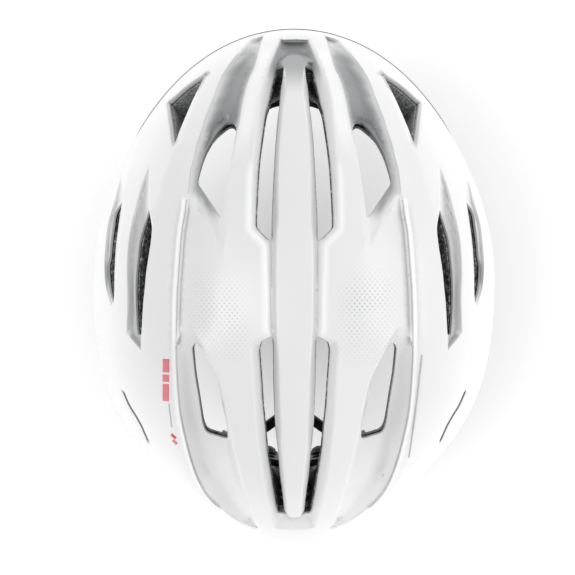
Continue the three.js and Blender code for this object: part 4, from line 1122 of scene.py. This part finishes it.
# ---------------------------------------------------------------- thin plates cut from a flat outline and bent to shape
def plate(name, outline, holes, spacing, upper_of, lower_of, width=0.45):
    pts, edges = [], []

    def chain(Q):
        k = len(pts)
        pts.extend(map(tuple, Q))
        for i in range(len(Q)):
            edges.append((k + i, k + (i + 1) % len(Q)))
    chain(outline)
    for h in holes:
        chain(h)
    hard = np.array(pts)
    lo, hi = hard.min(0), hard.max(0)
    xs, ys = np.arange(lo[0], hi[0], spacing), np.arange(lo[1], hi[1], spacing * 0.866)
    for i, y in enumerate(ys):
        for x in xs + (spacing / 2 if i % 2 else 0):
            q = np.array([x, y])
            if np.min(np.hypot(hard[:, 0] - x, hard[:, 1] - y)) > spacing * 0.55 and inside(outline, q[None])[0] and not any(inside(h, q[None])[0] for h in holes):
                pts.append((x, y))
    V, E, T_, _, _, _ = delaunay_2d_cdt([Vector(p) for p in pts], edges, [], 0, 1e-5)
    V = np.array([(v.x, v.y) for v in V])
    T_ = np.array([t for t in T_ if len(t) == 3], dtype=np.int64)
    c = V[T_].mean(1)
    ok = inside(outline, c)
    for h in holes:
        ok &= ~inside(h, c)
    T_ = T_[ok]
    ar = np.cross(V[T_[:, 1]] - V[T_[:, 0]], V[T_[:, 2]] - V[T_[:, 0]])
    T_ = T_[np.abs(ar) > 1e-8]
    ar = ar[np.abs(ar) > 1e-8]
    T_[ar < 0] = T_[ar < 0][:, ::-1]
    used = np.unique(T_)
    remap = -np.ones(len(V), dtype=np.int64)
    remap[used] = np.arange(len(used))
    V, T_ = V[used], remap[T_]
    vs_, fs_ = thick(T_, upper_of(V), lower_of(V))
    o = build(name, vs_, fs_, None)
    soften_border(o, width)
    return o


def soften_border(o, width):
    bm = bmesh.new()
    bm.from_mesh(o.data)
    bmesh.ops.recalc_face_normals(bm, faces=bm.faces)
    hard = [e for e in bm.edges if len(e.link_faces) == 2 and e.calc_face_angle(0) > math.radians(55)]
    bmesh.ops.bevel(bm, geom=hard, offset=width / 1000.0, offset_type="OFFSET", segments=2, profile=0.6, affect="EDGES", clamp_overlap=True)
    bm.to_mesh(o.data)
    bm.free()
    o.data.polygons.foreach_set("use_smooth", [True] * len(o.data.polygons))
    o.data.set_sharp_from_angle(angle=math.radians(50))


def rounded(poly, r, step=0.8):
    """Closed outline with its corners rounded to radius r."""
    P_ = np.array(poly, float)
    out = []
    n = len(P_)
    for i in range(n):
        a_, b_, c_ = P_[i - 1], P_[i], P_[(i + 1) % n]
        u_, v_ = (a_ - b_) / np.linalg.norm(a_ - b_), (c_ - b_) / np.linalg.norm(c_ - b_)
        k = min(r, 0.45 * np.linalg.norm(a_ - b_), 0.45 * np.linalg.norm(c_ - b_))
        p, q = b_ + u_ * k, b_ + v_ * k
        for t in np.linspace(0, 1, 6):
            out.append((1 - t) ** 2 * p + 2 * t * (1 - t) * b_ + t * t * q)
    return resample(np.array(out), step)


def resample(P_, step):
    Q = np.vstack([P_, P_[:1]])
    seg = np.linalg.norm(np.diff(Q, axis=0), axis=1)
    cum = np.concatenate([[0], np.cumsum(seg)])
    n = max(8, int(cum[-1] / step))
    s = np.linspace(0, cum[-1], n, endpoint=False)
    return np.stack([np.interp(s, cum, Q[:, 0]), np.interp(s, cum, Q[:, 1])], 1)


# cradle behind the head: outline in mm round the back and in height
CR_R = 100.0
cr_out = rounded([(-47, -18), (-40, -16.2), (40, -16.2), (47, -18), (48.5, -30), (44, -46), (48, -60), (44, -71), (26, -75.8), (-26, -75.8), (-44, -71), (-48, -60), (-44, -46), (-48.5, -30)], 5.0, 1.2)
cr_holes = [rounded([(s_ * 10.5, -24), (s_ * 36, -24.5), (s_ * 34, -37), (s_ * 12, -42)], 3.5, 1.2) for s_ in (1, -1)]
cr_holes += [rounded([(s_ * 33, -50), (s_ * 39.5, -53), (s_ * 40, -60), (s_ * 32, -62)], 2.2, 1.0) for s_ in (1, -1)]


def cr_map(off):
    return lambda V: cav_off(math.pi + V[:, 0] / CR_R, 1 - V[:, 1] / CAV["drop"], np.full(len(V), off))


cr = plate("cradle_shell", cr_out, cr_holes, 2.2, cr_map(3.5), cr_map(5.5), 0.5)
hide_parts("cradle")
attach(cr, "cradle")
PLASTIC.append((cr, "plastic"))

# bands from the temple pivots to the dial
PIV = (73.3, -45.0, 8.0)
bst = [[PIV[0], PIV[1] - 8, PIV[2] + 0.3], [PIV[0], PIV[1], PIV[2]], [PIV[0] + 0.5, PIV[1] + 7, PIV[2] - 0.5]]
for deg_, off_, z_ in ((70, 4.0, 6.5), (85, 3.0, 4.5), (100, 2.5, 1), (115, 2.0, -5), (130, 1.8, -14), (145, 1.6, -25), (154, 1.5, -33), (163, 1.5, -40)):
    p_ = cav_off(np.array([rad(deg_)]), np.array([max(1 - z_ / CAV["drop"], 1.001)]), np.array([off_]))[0]
    bst.append([p_[0], p_[1], z_])
bpath = catmull(bst, 30)
bseg = np.linalg.norm(np.diff(bpath, axis=0), axis=1)
bcum = np.concatenate([[0], np.cumsum(bseg)])
b0 = bcum[30]                                    # the pivot
blen = bcum[-1] - b0
btan = np.gradient(bpath, axis=0)
btan /= np.linalg.norm(btan, axis=1, keepdims=True)


def band_map(off):
    def f(V):
        s = V[:, 0] + b0
        c = np.stack([np.interp(s, bcum, bpath[:, k]) for k in range(3)], 1)
        t = np.stack([np.interp(s, bcum, btan[:, k]) for k in range(3)], 1)
        wd = np.array([0, 0, 1.0]) - t * t[:, 2:3]
        wd /= np.linalg.norm(wd, axis=1, keepdims=True)
        nn = np.cross(t, wd)
        return c + wd * V[:, 1:2] + nn * off
    return f


ang_ = np.linspace(math.radians(50), math.radians(310), 26)
b_out = np.vstack([np.stack([6.3 * np.cos(ang_), 6.3 * np.sin(ang_)], 1)[::-1][::-1], [(9, -4.4), (14, -4.9), (blen - 6, -4.9), (blen - 1.5, -3.6), (blen, 0), (blen - 1.5, 3.6), (blen - 6, 4.9), (14, 4.9), (9, 4.4)]])
b_out = resample(b_out, 1.1)
th_ = np.linspace(0, 2 * math.pi, 20, endpoint=False)
b_holes = [np.stack([2.8 * np.cos(th_), 2.8 * np.sin(th_)], 1)]
for i in range(9):
    c_ = 24 + i * 9.0
    b_holes.append(rounded([(c_ - 3.0, -1.5), (c_ + 3.0, -1.5), (c_ + 3.0, 1.5), (c_ - 3.0, 1.5)], 1.4, 0.8))
bl = plate("band_strip_left", b_out, b_holes, 1.9, band_map(0.8), band_map(-0.8), 0.35)
br = mirror(bl, "band_strip_right")
for o_, n_ in ((bl, "band_left"), (br, "band_right")):
    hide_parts(n_)
    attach(o_, BODY_OF.get(n_, "headband"))
    PLASTIC.append((o_, "plastic"))

# dial knob: fluted rim, chamfers and a dished face
NT, LOBES = 192, 24
prof_k = [(2.5, 120.0, 0), (11.6, 120.0, 0), (12.2, 120.2, 0.2), (12.75, 120.9, 0.8), (13.0, 122.0, 1), (13.05, 124.5, 1), (13.0, 127.0, 1), (12.8, 128.3, 0.9), (12.3, 129.2, 0.55), (11.5, 129.8, 0.15), (10.6, 130.0, 0), (9.8, 129.8, 0), (9.2, 129.1, 0), (8.4, 128.8, 0), (5.0, 128.6, 0), (2.0, 128.55, 0)]
th = np.linspace(0, 2 * math.pi, NT, endpoint=False)
V, F = [], []
for r_, y_, w_ in prof_k:
    lobe = np.abs(np.cos(LOBES / 2 * th)) ** 0.7
    rr = r_ - 0.75 * w_ * (1 - lobe)
    V.append(np.stack([rr * np.cos(th), np.full(NT, y_), rr * np.sin(th) - 64.0], 1))
for r_, y_ in ((2.5, 126.8),):
    V.append(np.stack([r_ * np.cos(th), np.full(NT, y_), r_ * np.sin(th) - 64.0], 1))
V = np.vstack(V)
nr = len(prof_k)
for j in range(nr - 1):
    for i in range(NT):
        k = (i + 1) % NT
        F.append((j * NT + i, j * NT + k, (j + 1) * NT + k, (j + 1) * NT + i))
c_front, c_back = len(V), len(V) + 1
V = np.vstack([V, [[0, 128.55, -64.0], [0, 126.8, -64.0]]])
for i in range(NT):
    k = (i + 1) % NT
    F.append(((nr - 1) * NT + i, (nr - 1) * NT + k, c_front))
    F.append((i, nr * NT + i, nr * NT + k, k))
    F.append((nr * NT + i, c_back, nr * NT + k))
knob = build("knob_fluted", V, F, 45)
bm_ = bmesh.new()
bm_.from_mesh(knob.data)
bmesh.ops.recalc_face_normals(bm_, faces=bm_.faces)
bm_.to_mesh(knob.data)
bm_.free()
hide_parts("dial_knob")
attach(knob, BODY_OF.get("dial_knob", "dial"))
PLASTIC.append((knob, "dial"))


# ---------------------------------------------------------------- materials
class Mat:
    def __init__(self, name):
        self.m = bpy.data.materials.new(name)
        self.m.use_nodes = True
        self.nt = self.m.node_tree
        self.bsdf = self.nt.nodes["Principled BSDF"]
        self.tc = self.nt.nodes.new("ShaderNodeTexCoord")

    def node(self, kind, **kw):
        n = self.nt.nodes.new(kind)
        for k, v in kw.items():
            if hasattr(n, k):
                setattr(n, k, v)
            else:
                n.inputs[k.replace("_", " ")].default_value = v
        return n

    def link(self, a, b):
        self.nt.links.new(a, b)

    def math(self, op, a, b=None, c=None, clamp=False):
        n = self.nt.nodes.new("ShaderNodeMath")
        n.operation = op
        n.use_clamp = clamp
        for i, v in enumerate((a, b, c)):
            if v is None:
                continue
            if isinstance(v, (int, float)):
                n.inputs[i].default_value = v
            else:
                self.link(v, n.inputs[i])
        return n.outputs[0]

    def set(self, **kw):
        for k, v in kw.items():
            self.bsdf.inputs[k.replace("_", " ")].default_value = v
        return self

    def bump(self, height, strength, distance, normal=None):
        b = self.nt.nodes.new("ShaderNodeBump")
        b.inputs["Strength"].default_value = strength
        b.inputs["Distance"].default_value = distance
        self.link(height, b.inputs["Height"])
        if normal is not None:
            self.link(normal, b.inputs["Normal"])
        return b.outputs["Normal"]

    def mix(self, fac, a, b):
        n = self.nt.nodes.new("ShaderNodeMix")
        n.data_type = "RGBA"
        for idx, v in ((0, fac), (6, a), (7, b)):
            if isinstance(v, (int, float)):
                n.inputs[idx].default_value = v
            elif isinstance(v, tuple):
                n.inputs[idx].default_value = (*v, 1)
            else:
                self.link(v, n.inputs[idx])
        return n.outputs[2]

    def noise(self, scale, detail=2.0, rough=0.5, vec=None):
        n = self.node("ShaderNodeTexNoise", Scale=scale, Detail=detail, Roughness=rough)
        self.link(vec or self.tc.outputs["Object"], n.inputs["Vector"])
        return n.outputs["Fac"]

    def ramp(self, fac, lo, hi, a=0.0, b=1.0):
        n = self.nt.nodes.new("ShaderNodeMapRange")
        n.clamp = True
        for i, v in enumerate((lo, hi, a, b)):
            n.inputs[i + 1].default_value = v
        self.link(fac, n.inputs[0])
        return n.outputs[0]


def shell_material():
    M = Mat("shell_white")
    M.set(Roughness=0.34, Specular_IOR_Level=0.5, Coat_Weight=0.25, Coat_Roughness=0.22)
    sep = M.node("ShaderNodeSeparateXYZ")
    M.link(M.tc.outputs["Object"], sep.inputs[0])
    x, y = M.math("ABSOLUTE", sep.outputs[0]), sep.outputs[1]
    # printed dots on a staggered grid that fade out over the mid panels
    cw, ch = 0.00264, 0.00312

    def lattice(ox, oy):
        fx = M.math("SUBTRACT", M.math("FRACT", M.math("ADD", M.math("DIVIDE", x, cw), 0.5 + ox)), 0.5)
        fy = M.math("SUBTRACT", M.math("FRACT", M.math("ADD", M.math("DIVIDE", y, ch), 20.5 + oy)), 0.5)
        dx, dy = M.math("MULTIPLY", fx, cw * 1000), M.math("MULTIPLY", fy, ch * 1000)
        return M.math("SQRT", M.math("ADD", M.math("MULTIPLY", dx, dx), M.math("MULTIPLY", dy, dy)))
    d = M.math("MINIMUM", lattice(0, 0), lattice(0.5, 0.5))
    dot = M.ramp(d, 0.72, 0.46)
    fade = M.math("MULTIPLY", M.math("MULTIPLY", M.ramp(x, 0.020, 0.030), M.ramp(x, 0.056, 0.046)),
                  M.math("MULTIPLY", M.ramp(y, -0.014, 0.010), M.ramp(y, 0.042, 0.022)))
    patch = M.ramp(M.noise(38.0, 1.0), 0.38, 0.62, 0.45, 1.0)
    up = M.node("ShaderNodeSeparateXYZ")
    M.link(M.tc.outputs["Normal"], up.inputs[0])
    mask = M.math("MULTIPLY", M.math("MULTIPLY", dot, fade), patch)
    mask = M.math("MULTIPLY", mask, 0.85)
    cloud = M.ramp(M.noise(9.0, 3.0), 0.3, 0.7)
    base = M.mix(cloud, SHELL_A, SHELL_B)
    # painted shade: the shell colour is drawn towards dark grey by the per-point painted shade attribute
    sh = M.node("ShaderNodeAttribute", attribute_name="painted_shade")
    base = M.mix(M.math("MULTIPLY", sh.outputs["Fac"], 0.8, clamp=True), base, (0.31, 0.315, 0.32))
    # painted highlight: the shell colour is drawn towards white by the per-point painted highlight attribute
    painted_highlight = M.node("ShaderNodeAttribute", attribute_name="painted_highlight")
    base = M.mix(painted_highlight.outputs["Fac"], base, (0.98, 0.98, 0.98))
    col = M.mix(mask, base, (0.50, 0.51, 0.52))
    M.link(col, M.bsdf.inputs["Base Color"])
    r = M.ramp(M.noise(2600.0, 2.0), 0.3, 0.7, 0.30, 0.38)
    M.link(r, M.bsdf.inputs["Roughness"])
    M.link(M.bump(M.noise(900.0, 2.0), 0.05, 0.0002), M.bsdf.inputs["Normal"])
    return M.m


def foam_material():
    M = Mat("foam_beads")
    M.set(Specular_IOR_Level=0.4)
    v = M.node("ShaderNodeTexVoronoi", feature="DISTANCE_TO_EDGE", Scale=500.0)
    M.link(M.tc.outputs["Object"], v.inputs["Vector"])
    c = M.node("ShaderNodeTexVoronoi", feature="F1", Scale=500.0)
    M.link(M.tc.outputs["Object"], c.inputs["Vector"])
    edge = M.ramp(v.outputs["Distance"], 0.0, 0.13)
    sepc = M.node("ShaderNodeSeparateColor")
    M.link(c.outputs["Color"], sepc.inputs[0])
    spread = M.math("POWER", sepc.outputs[0], 1.25)
    bead = M.mix(spread, (0.07, 0.071, 0.074), (0.62, 0.625, 0.63))
    # painted light: the beads and the gaps between them are paler in the front side vents, where the foam lies just
    # under the shell
    pos = M.node("ShaderNodeSeparateXYZ")
    M.link(M.tc.outputs["Object"], pos.inputs[0])
    near = M.math("MULTIPLY", M.ramp(M.math("ABSOLUTE", pos.outputs[0]), 0.040, 0.047), M.ramp(pos.outputs[1], -0.072, -0.080))
    near = M.math("MULTIPLY", near, M.ramp(pos.outputs[2], 0.012, 0.03))
    bead = M.mix(M.math("MULTIPLY", near, 0.60), bead, (0.80, 0.805, 0.81))
    M.link(M.mix(edge, M.mix(near, (0.022, 0.022, 0.023), (0.12, 0.12, 0.12)), bead), M.bsdf.inputs["Base Color"])
    M.link(M.ramp(sepc.outputs[1], 0, 1, 0.45, 0.75), M.bsdf.inputs["Roughness"])
    h = M.math("ADD", edge, M.math("MULTIPLY", sepc.outputs[2], 0.35))
    M.link(M.bump(h, 0.5, 0.0004), M.bsdf.inputs["Normal"])
    return M.m


def plastic_material(name, col, rough, grain=1400.0, depth=0.00008):
    M = Mat(name)
    M.set(Specular_IOR_Level=0.5)
    n = M.noise(grain, 3.0)
    M.link(M.mix(M.ramp(M.noise(60.0, 3.0), 0.3, 0.7), tuple(0.85 * c for c in col), tuple(1.15 * c for c in col)), M.bsdf.inputs["Base Color"])
    M.link(M.ramp(n, 0.3, 0.7, rough - 0.06, rough + 0.08), M.bsdf.inputs["Roughness"])
    M.link(M.bump(n, 0.25, depth), M.bsdf.inputs["Normal"])
    return M.m


def webbing_material():
    """Woven polyester: ribs across the strap and a fine diagonal in the strap's own coordinates."""
    M = Mat("webbing")
    M.set(Specular_IOR_Level=0.3, Sheen_Weight=0.25, Sheen_Roughness=0.5)
    sep = M.node("ShaderNodeSeparateXYZ")
    M.link(M.tc.outputs["UV"], sep.inputs[0])
    u, v = sep.outputs[0], sep.outputs[1]              # millimetres along and across
    a = M.math("SINE", M.math("MULTIPLY", M.math("ADD", u, M.math("MULTIPLY", M.math("PINGPONG", v, 1.8), 0.8)), 5.2))
    b = M.math("SINE", M.math("MULTIPLY", v, 8.0))
    h = M.math("ADD", M.math("MULTIPLY", a, 0.5), M.math("MULTIPLY", b, 0.3))
    M.link(M.mix(M.ramp(h, -0.8, 0.8), (0.010, 0.010, 0.011), (0.045, 0.045, 0.048)), M.bsdf.inputs["Base Color"])
    M.set(Roughness=0.75)
    M.link(M.bump(h, 0.55, 0.00025), M.bsdf.inputs["Normal"])
    return M.m


def cloth_material():
    M = Mat("pad_cloth")
    M.set(Specular_IOR_Level=0.2, Sheen_Weight=0.4, Sheen_Roughness=0.6, Roughness=0.9)
    v = M.node("ShaderNodeTexVoronoi", feature="F1", Scale=1100.0, Randomness=0.25)
    M.link(M.tc.outputs["Object"], v.inputs["Vector"])
    h = M.ramp(v.outputs["Distance"], 0.1, 0.7)
    M.link(M.mix(h, (0.040, 0.040, 0.043), (0.008, 0.008, 0.009)), M.bsdf.inputs["Base Color"])
    M.link(M.bump(M.math("ADD", M.math("MULTIPLY", h, -1.0), M.math("MULTIPLY", M.noise(120.0, 2.0), 0.6)), 0.6, 0.0003), M.bsdf.inputs["Normal"])
    return M.m


def binding_material():
    """Folded edge tape with a fine rib round it."""
    M = Mat("edge_tape")
    M.set(Specular_IOR_Level=0.3, Roughness=0.7, Sheen_Weight=0.2, Sheen_Roughness=0.5)
    w = M.node("ShaderNodeTexWave", Scale=900.0, Distortion=1.5)
    M.link(M.tc.outputs["Object"], w.inputs["Vector"])
    M.link(M.mix(w.outputs["Fac"], (0.012, 0.012, 0.013), (0.05, 0.05, 0.053)), M.bsdf.inputs["Base Color"])
    M.link(M.bump(w.outputs["Fac"], 0.5, 0.0002), M.bsdf.inputs["Normal"])
    return M.m


def hook_material():
    M = Mat("hook_tape")
    M.set(Roughness=0.95, Specular_IOR_Level=0.2)
    v = M.node("ShaderNodeTexVoronoi", feature="F1", Scale=1500.0, Randomness=0.4)
    M.link(M.tc.outputs["Object"], v.inputs["Vector"])
    M.link(M.mix(M.ramp(v.outputs["Distance"], 0.1, 0.6), (0.05, 0.05, 0.05), (0.005, 0.005, 0.005)), M.bsdf.inputs["Base Color"])
    M.link(M.bump(v.outputs["Distance"], 0.8, 0.0004), M.bsdf.inputs["Normal"])
    return M.m


def metal_material():
    M = Mat("magnet_plate")
    M.set(Metallic=1.0, Specular_IOR_Level=0.5)
    n = M.noise(1800.0, 2.0)
    M.link(M.mix(n, (0.42, 0.42, 0.43), (0.62, 0.62, 0.63)), M.bsdf.inputs["Base Color"])
    M.link(M.ramp(n, 0.3, 0.7, 0.25, 0.4), M.bsdf.inputs["Roughness"])
    return M.m


SHELL_A, SHELL_B = (0.80, 0.80, 0.805), (0.83, 0.83, 0.833)
MATS = {
    "shell": shell_material(),
    "foam": foam_material(),
    "plastic": plastic_material("nylon_black", (0.016, 0.016, 0.017), 0.42),
    "dial": plastic_material("dial_soft_touch", (0.028, 0.028, 0.030), 0.6, 2200.0, 0.00012),
    "rubber": plastic_material("keeper_rubber", (0.014, 0.014, 0.015), 0.75, 900.0, 0.0001),
    "webbing": webbing_material(),
    "pad_cloth": cloth_material(),
    "hook_tape": hook_material(),
    "binding": binding_material(),
    "magnet": metal_material(),
}
MATS["lower_shell"] = MATS["shell"]
# painted shadow: dark grey for the band at the join of the two shells
MATS["seam_shadow"] = plastic_material("seam_shadow_grey", (0.12, 0.122, 0.125), 0.55)
MATS["print_red"] = plastic_material("print_red", (0.62, 0.045, 0.06), 0.45)
MATS["print_rose"] = plastic_material("print_rose", (0.72, 0.20, 0.23), 0.45)
MATS["print_grey"] = plastic_material("print_grey", (0.50, 0.505, 0.51), 0.45)


def dress(o, key):
    o.data.materials.clear()
    o.data.materials.append(MATS[key])


dress(upper, "shell")
dress(lower, "shell")
dress(foam, "foam")
dress(seam_shadow, "seam_shadow")
for o_, k_ in DECALS:
    dress(o_, k_)
for o_ in PADS:
    dress(o_, "pad_cloth")
for o_ in BINDINGS:
    dress(o_, "binding")
for o_ in STRAPS:
    dress(o_, "webbing")
for o_, k_ in PLASTIC:
    dress(o_, k_)
for part in frame["record"]["subparts"]:
    o = frame["nodes"].get(part["node"])
    key = part.get("material_slot", "plastic")
    if o is not None:
        if len(o.material_slots):
            for s in o.material_slots:
                s.material = MATS[key]
        else:
            o.data.materials.append(MATS[key])


# ---------------------------------------------------------------- floor, light, camera
def floor_plane(z, size):
    me = bpy.data.meshes.new("floor")
    me.from_pydata([(-size, -size, z), (size, -size, z), (size, size, z), (-size, size, z)], [], [(0, 1, 2, 3)])
    o = bpy.data.objects.new("floor", me)
    bpy.context.scene.collection.objects.link(o)
    M = Mat("floor_paper")
    M.set(Base_Color=(0.95, 0.95, 0.95, 1), Roughness=0.9, Specular_IOR_Level=0.1)
    vl = M.node("ShaderNodeVectorMath", operation="LENGTH")
    M.link(M.tc.outputs["Object"], vl.inputs[0])
    # painted light: the floor glows, at FLOOR_GLOW within 0.16 m of the centre, rising to FLOOR_FAR beyond 0.34 m, so
    # it is dimmer under the helmet
    M.set(Emission_Color=(1, 1, 1, 1))
    M.link(M.ramp(vl.outputs["Value"], 0.16, 0.34, FLOOR_GLOW, FLOOR_FAR), M.bsdf.inputs["Emission Strength"])
    me.materials.append(M.m)
    return o


def area(name, loc, target, size, power, color=(1, 1, 1)):
    l = bpy.data.lights.new(name, "AREA")
    l.shape = "RECTANGLE"
    l.size, l.size_y = size
    l.energy = power
    l.color = color
    o = bpy.data.objects.new(name, l)
    o.location = loc
    o.rotation_euler = (Vector(target) - Vector(loc)).to_track_quat("-Z", "Y").to_euler()
    bpy.context.scene.collection.objects.link(o)
    return o


# painted light: how strongly the floor glows near the helmet and far from it
FLOOR_GLOW, FLOOR_FAR = 0.14, 0.64
floor_plane(-0.150, 6.0)
area("key_left", (0.95, 0.25, 1.6), (0, 0, 0.03), (0.8, 1.3), 12.2)
area("fill_right", (-1.35, 0.05, 1.2), (0, 0, 0.03), (1.0, 1.4), 6.6)
# brightness of the room: even, from the two sides, from behind, from the front, from overhead
W_EVEN, W_LEFT, W_RIGHT, W_REAR, W_FRONT, W_TOP = 0.20, 0.06, 0.62, 0.44, 0.68, 0.06
world = bpy.data.worlds.new("studio")
world.use_nodes = True
wt = world.node_tree
wtc = wt.nodes.new("ShaderNodeTexCoord")
wsp = wt.nodes.new("ShaderNodeSeparateXYZ")
wt.links.new(wtc.outputs["Generated"], wsp.inputs[0])


def wmath(op, a, b):
    n = wt.nodes.new("ShaderNodeMath")
    n.operation = op
    for i_, v_ in enumerate((a, b)):
        if isinstance(v_, (int, float)):
            n.inputs[i_].default_value = v_
        else:
            wt.links.new(v_, n.inputs[i_])
    return n.outputs[0]


wx, wy, wz = wsp.outputs
acc = wmath("ADD", wmath("MULTIPLY", wmath("MAXIMUM", wx, 0.0), W_LEFT), W_EVEN)
acc = wmath("ADD", acc, wmath("MULTIPLY", wmath("MAXIMUM", wmath("MULTIPLY", wx, -1.0), 0.0), W_RIGHT))
acc = wmath("ADD", acc, wmath("MULTIPLY", wmath("MAXIMUM", wy, 0.0), W_REAR))
acc = wmath("ADD", acc, wmath("MULTIPLY", wmath("MAXIMUM", wmath("MULTIPLY", wy, -1.0), 0.0), W_FRONT))
acc = wmath("ADD", acc, wmath("MULTIPLY", wmath("POWER", wmath("MAXIMUM", wz, 0.0), 4.0), W_TOP))
wt.links.new(acc, wt.nodes["Background"].inputs[1])
wt.nodes["Background"].inputs[0].default_value = (1, 1, 1, 1)
bpy.context.scene.world = world
bpy.context.scene.view_settings.view_transform = "Standard"
bpy.context.scene.view_settings.look = "None"

cam = bpy.data.cameras.new("camera")
cam.lens = 134.7
cam.sensor_width = 36.0
cam.clip_start, cam.clip_end = 0.05, 50
co = bpy.data.objects.new("camera", cam)
co.location = (0.0036, -0.0003, 1.208)
co.rotation_euler = (0, 0, math.pi)
bpy.context.scene.collection.objects.link(co)
bpy.context.scene.camera = co
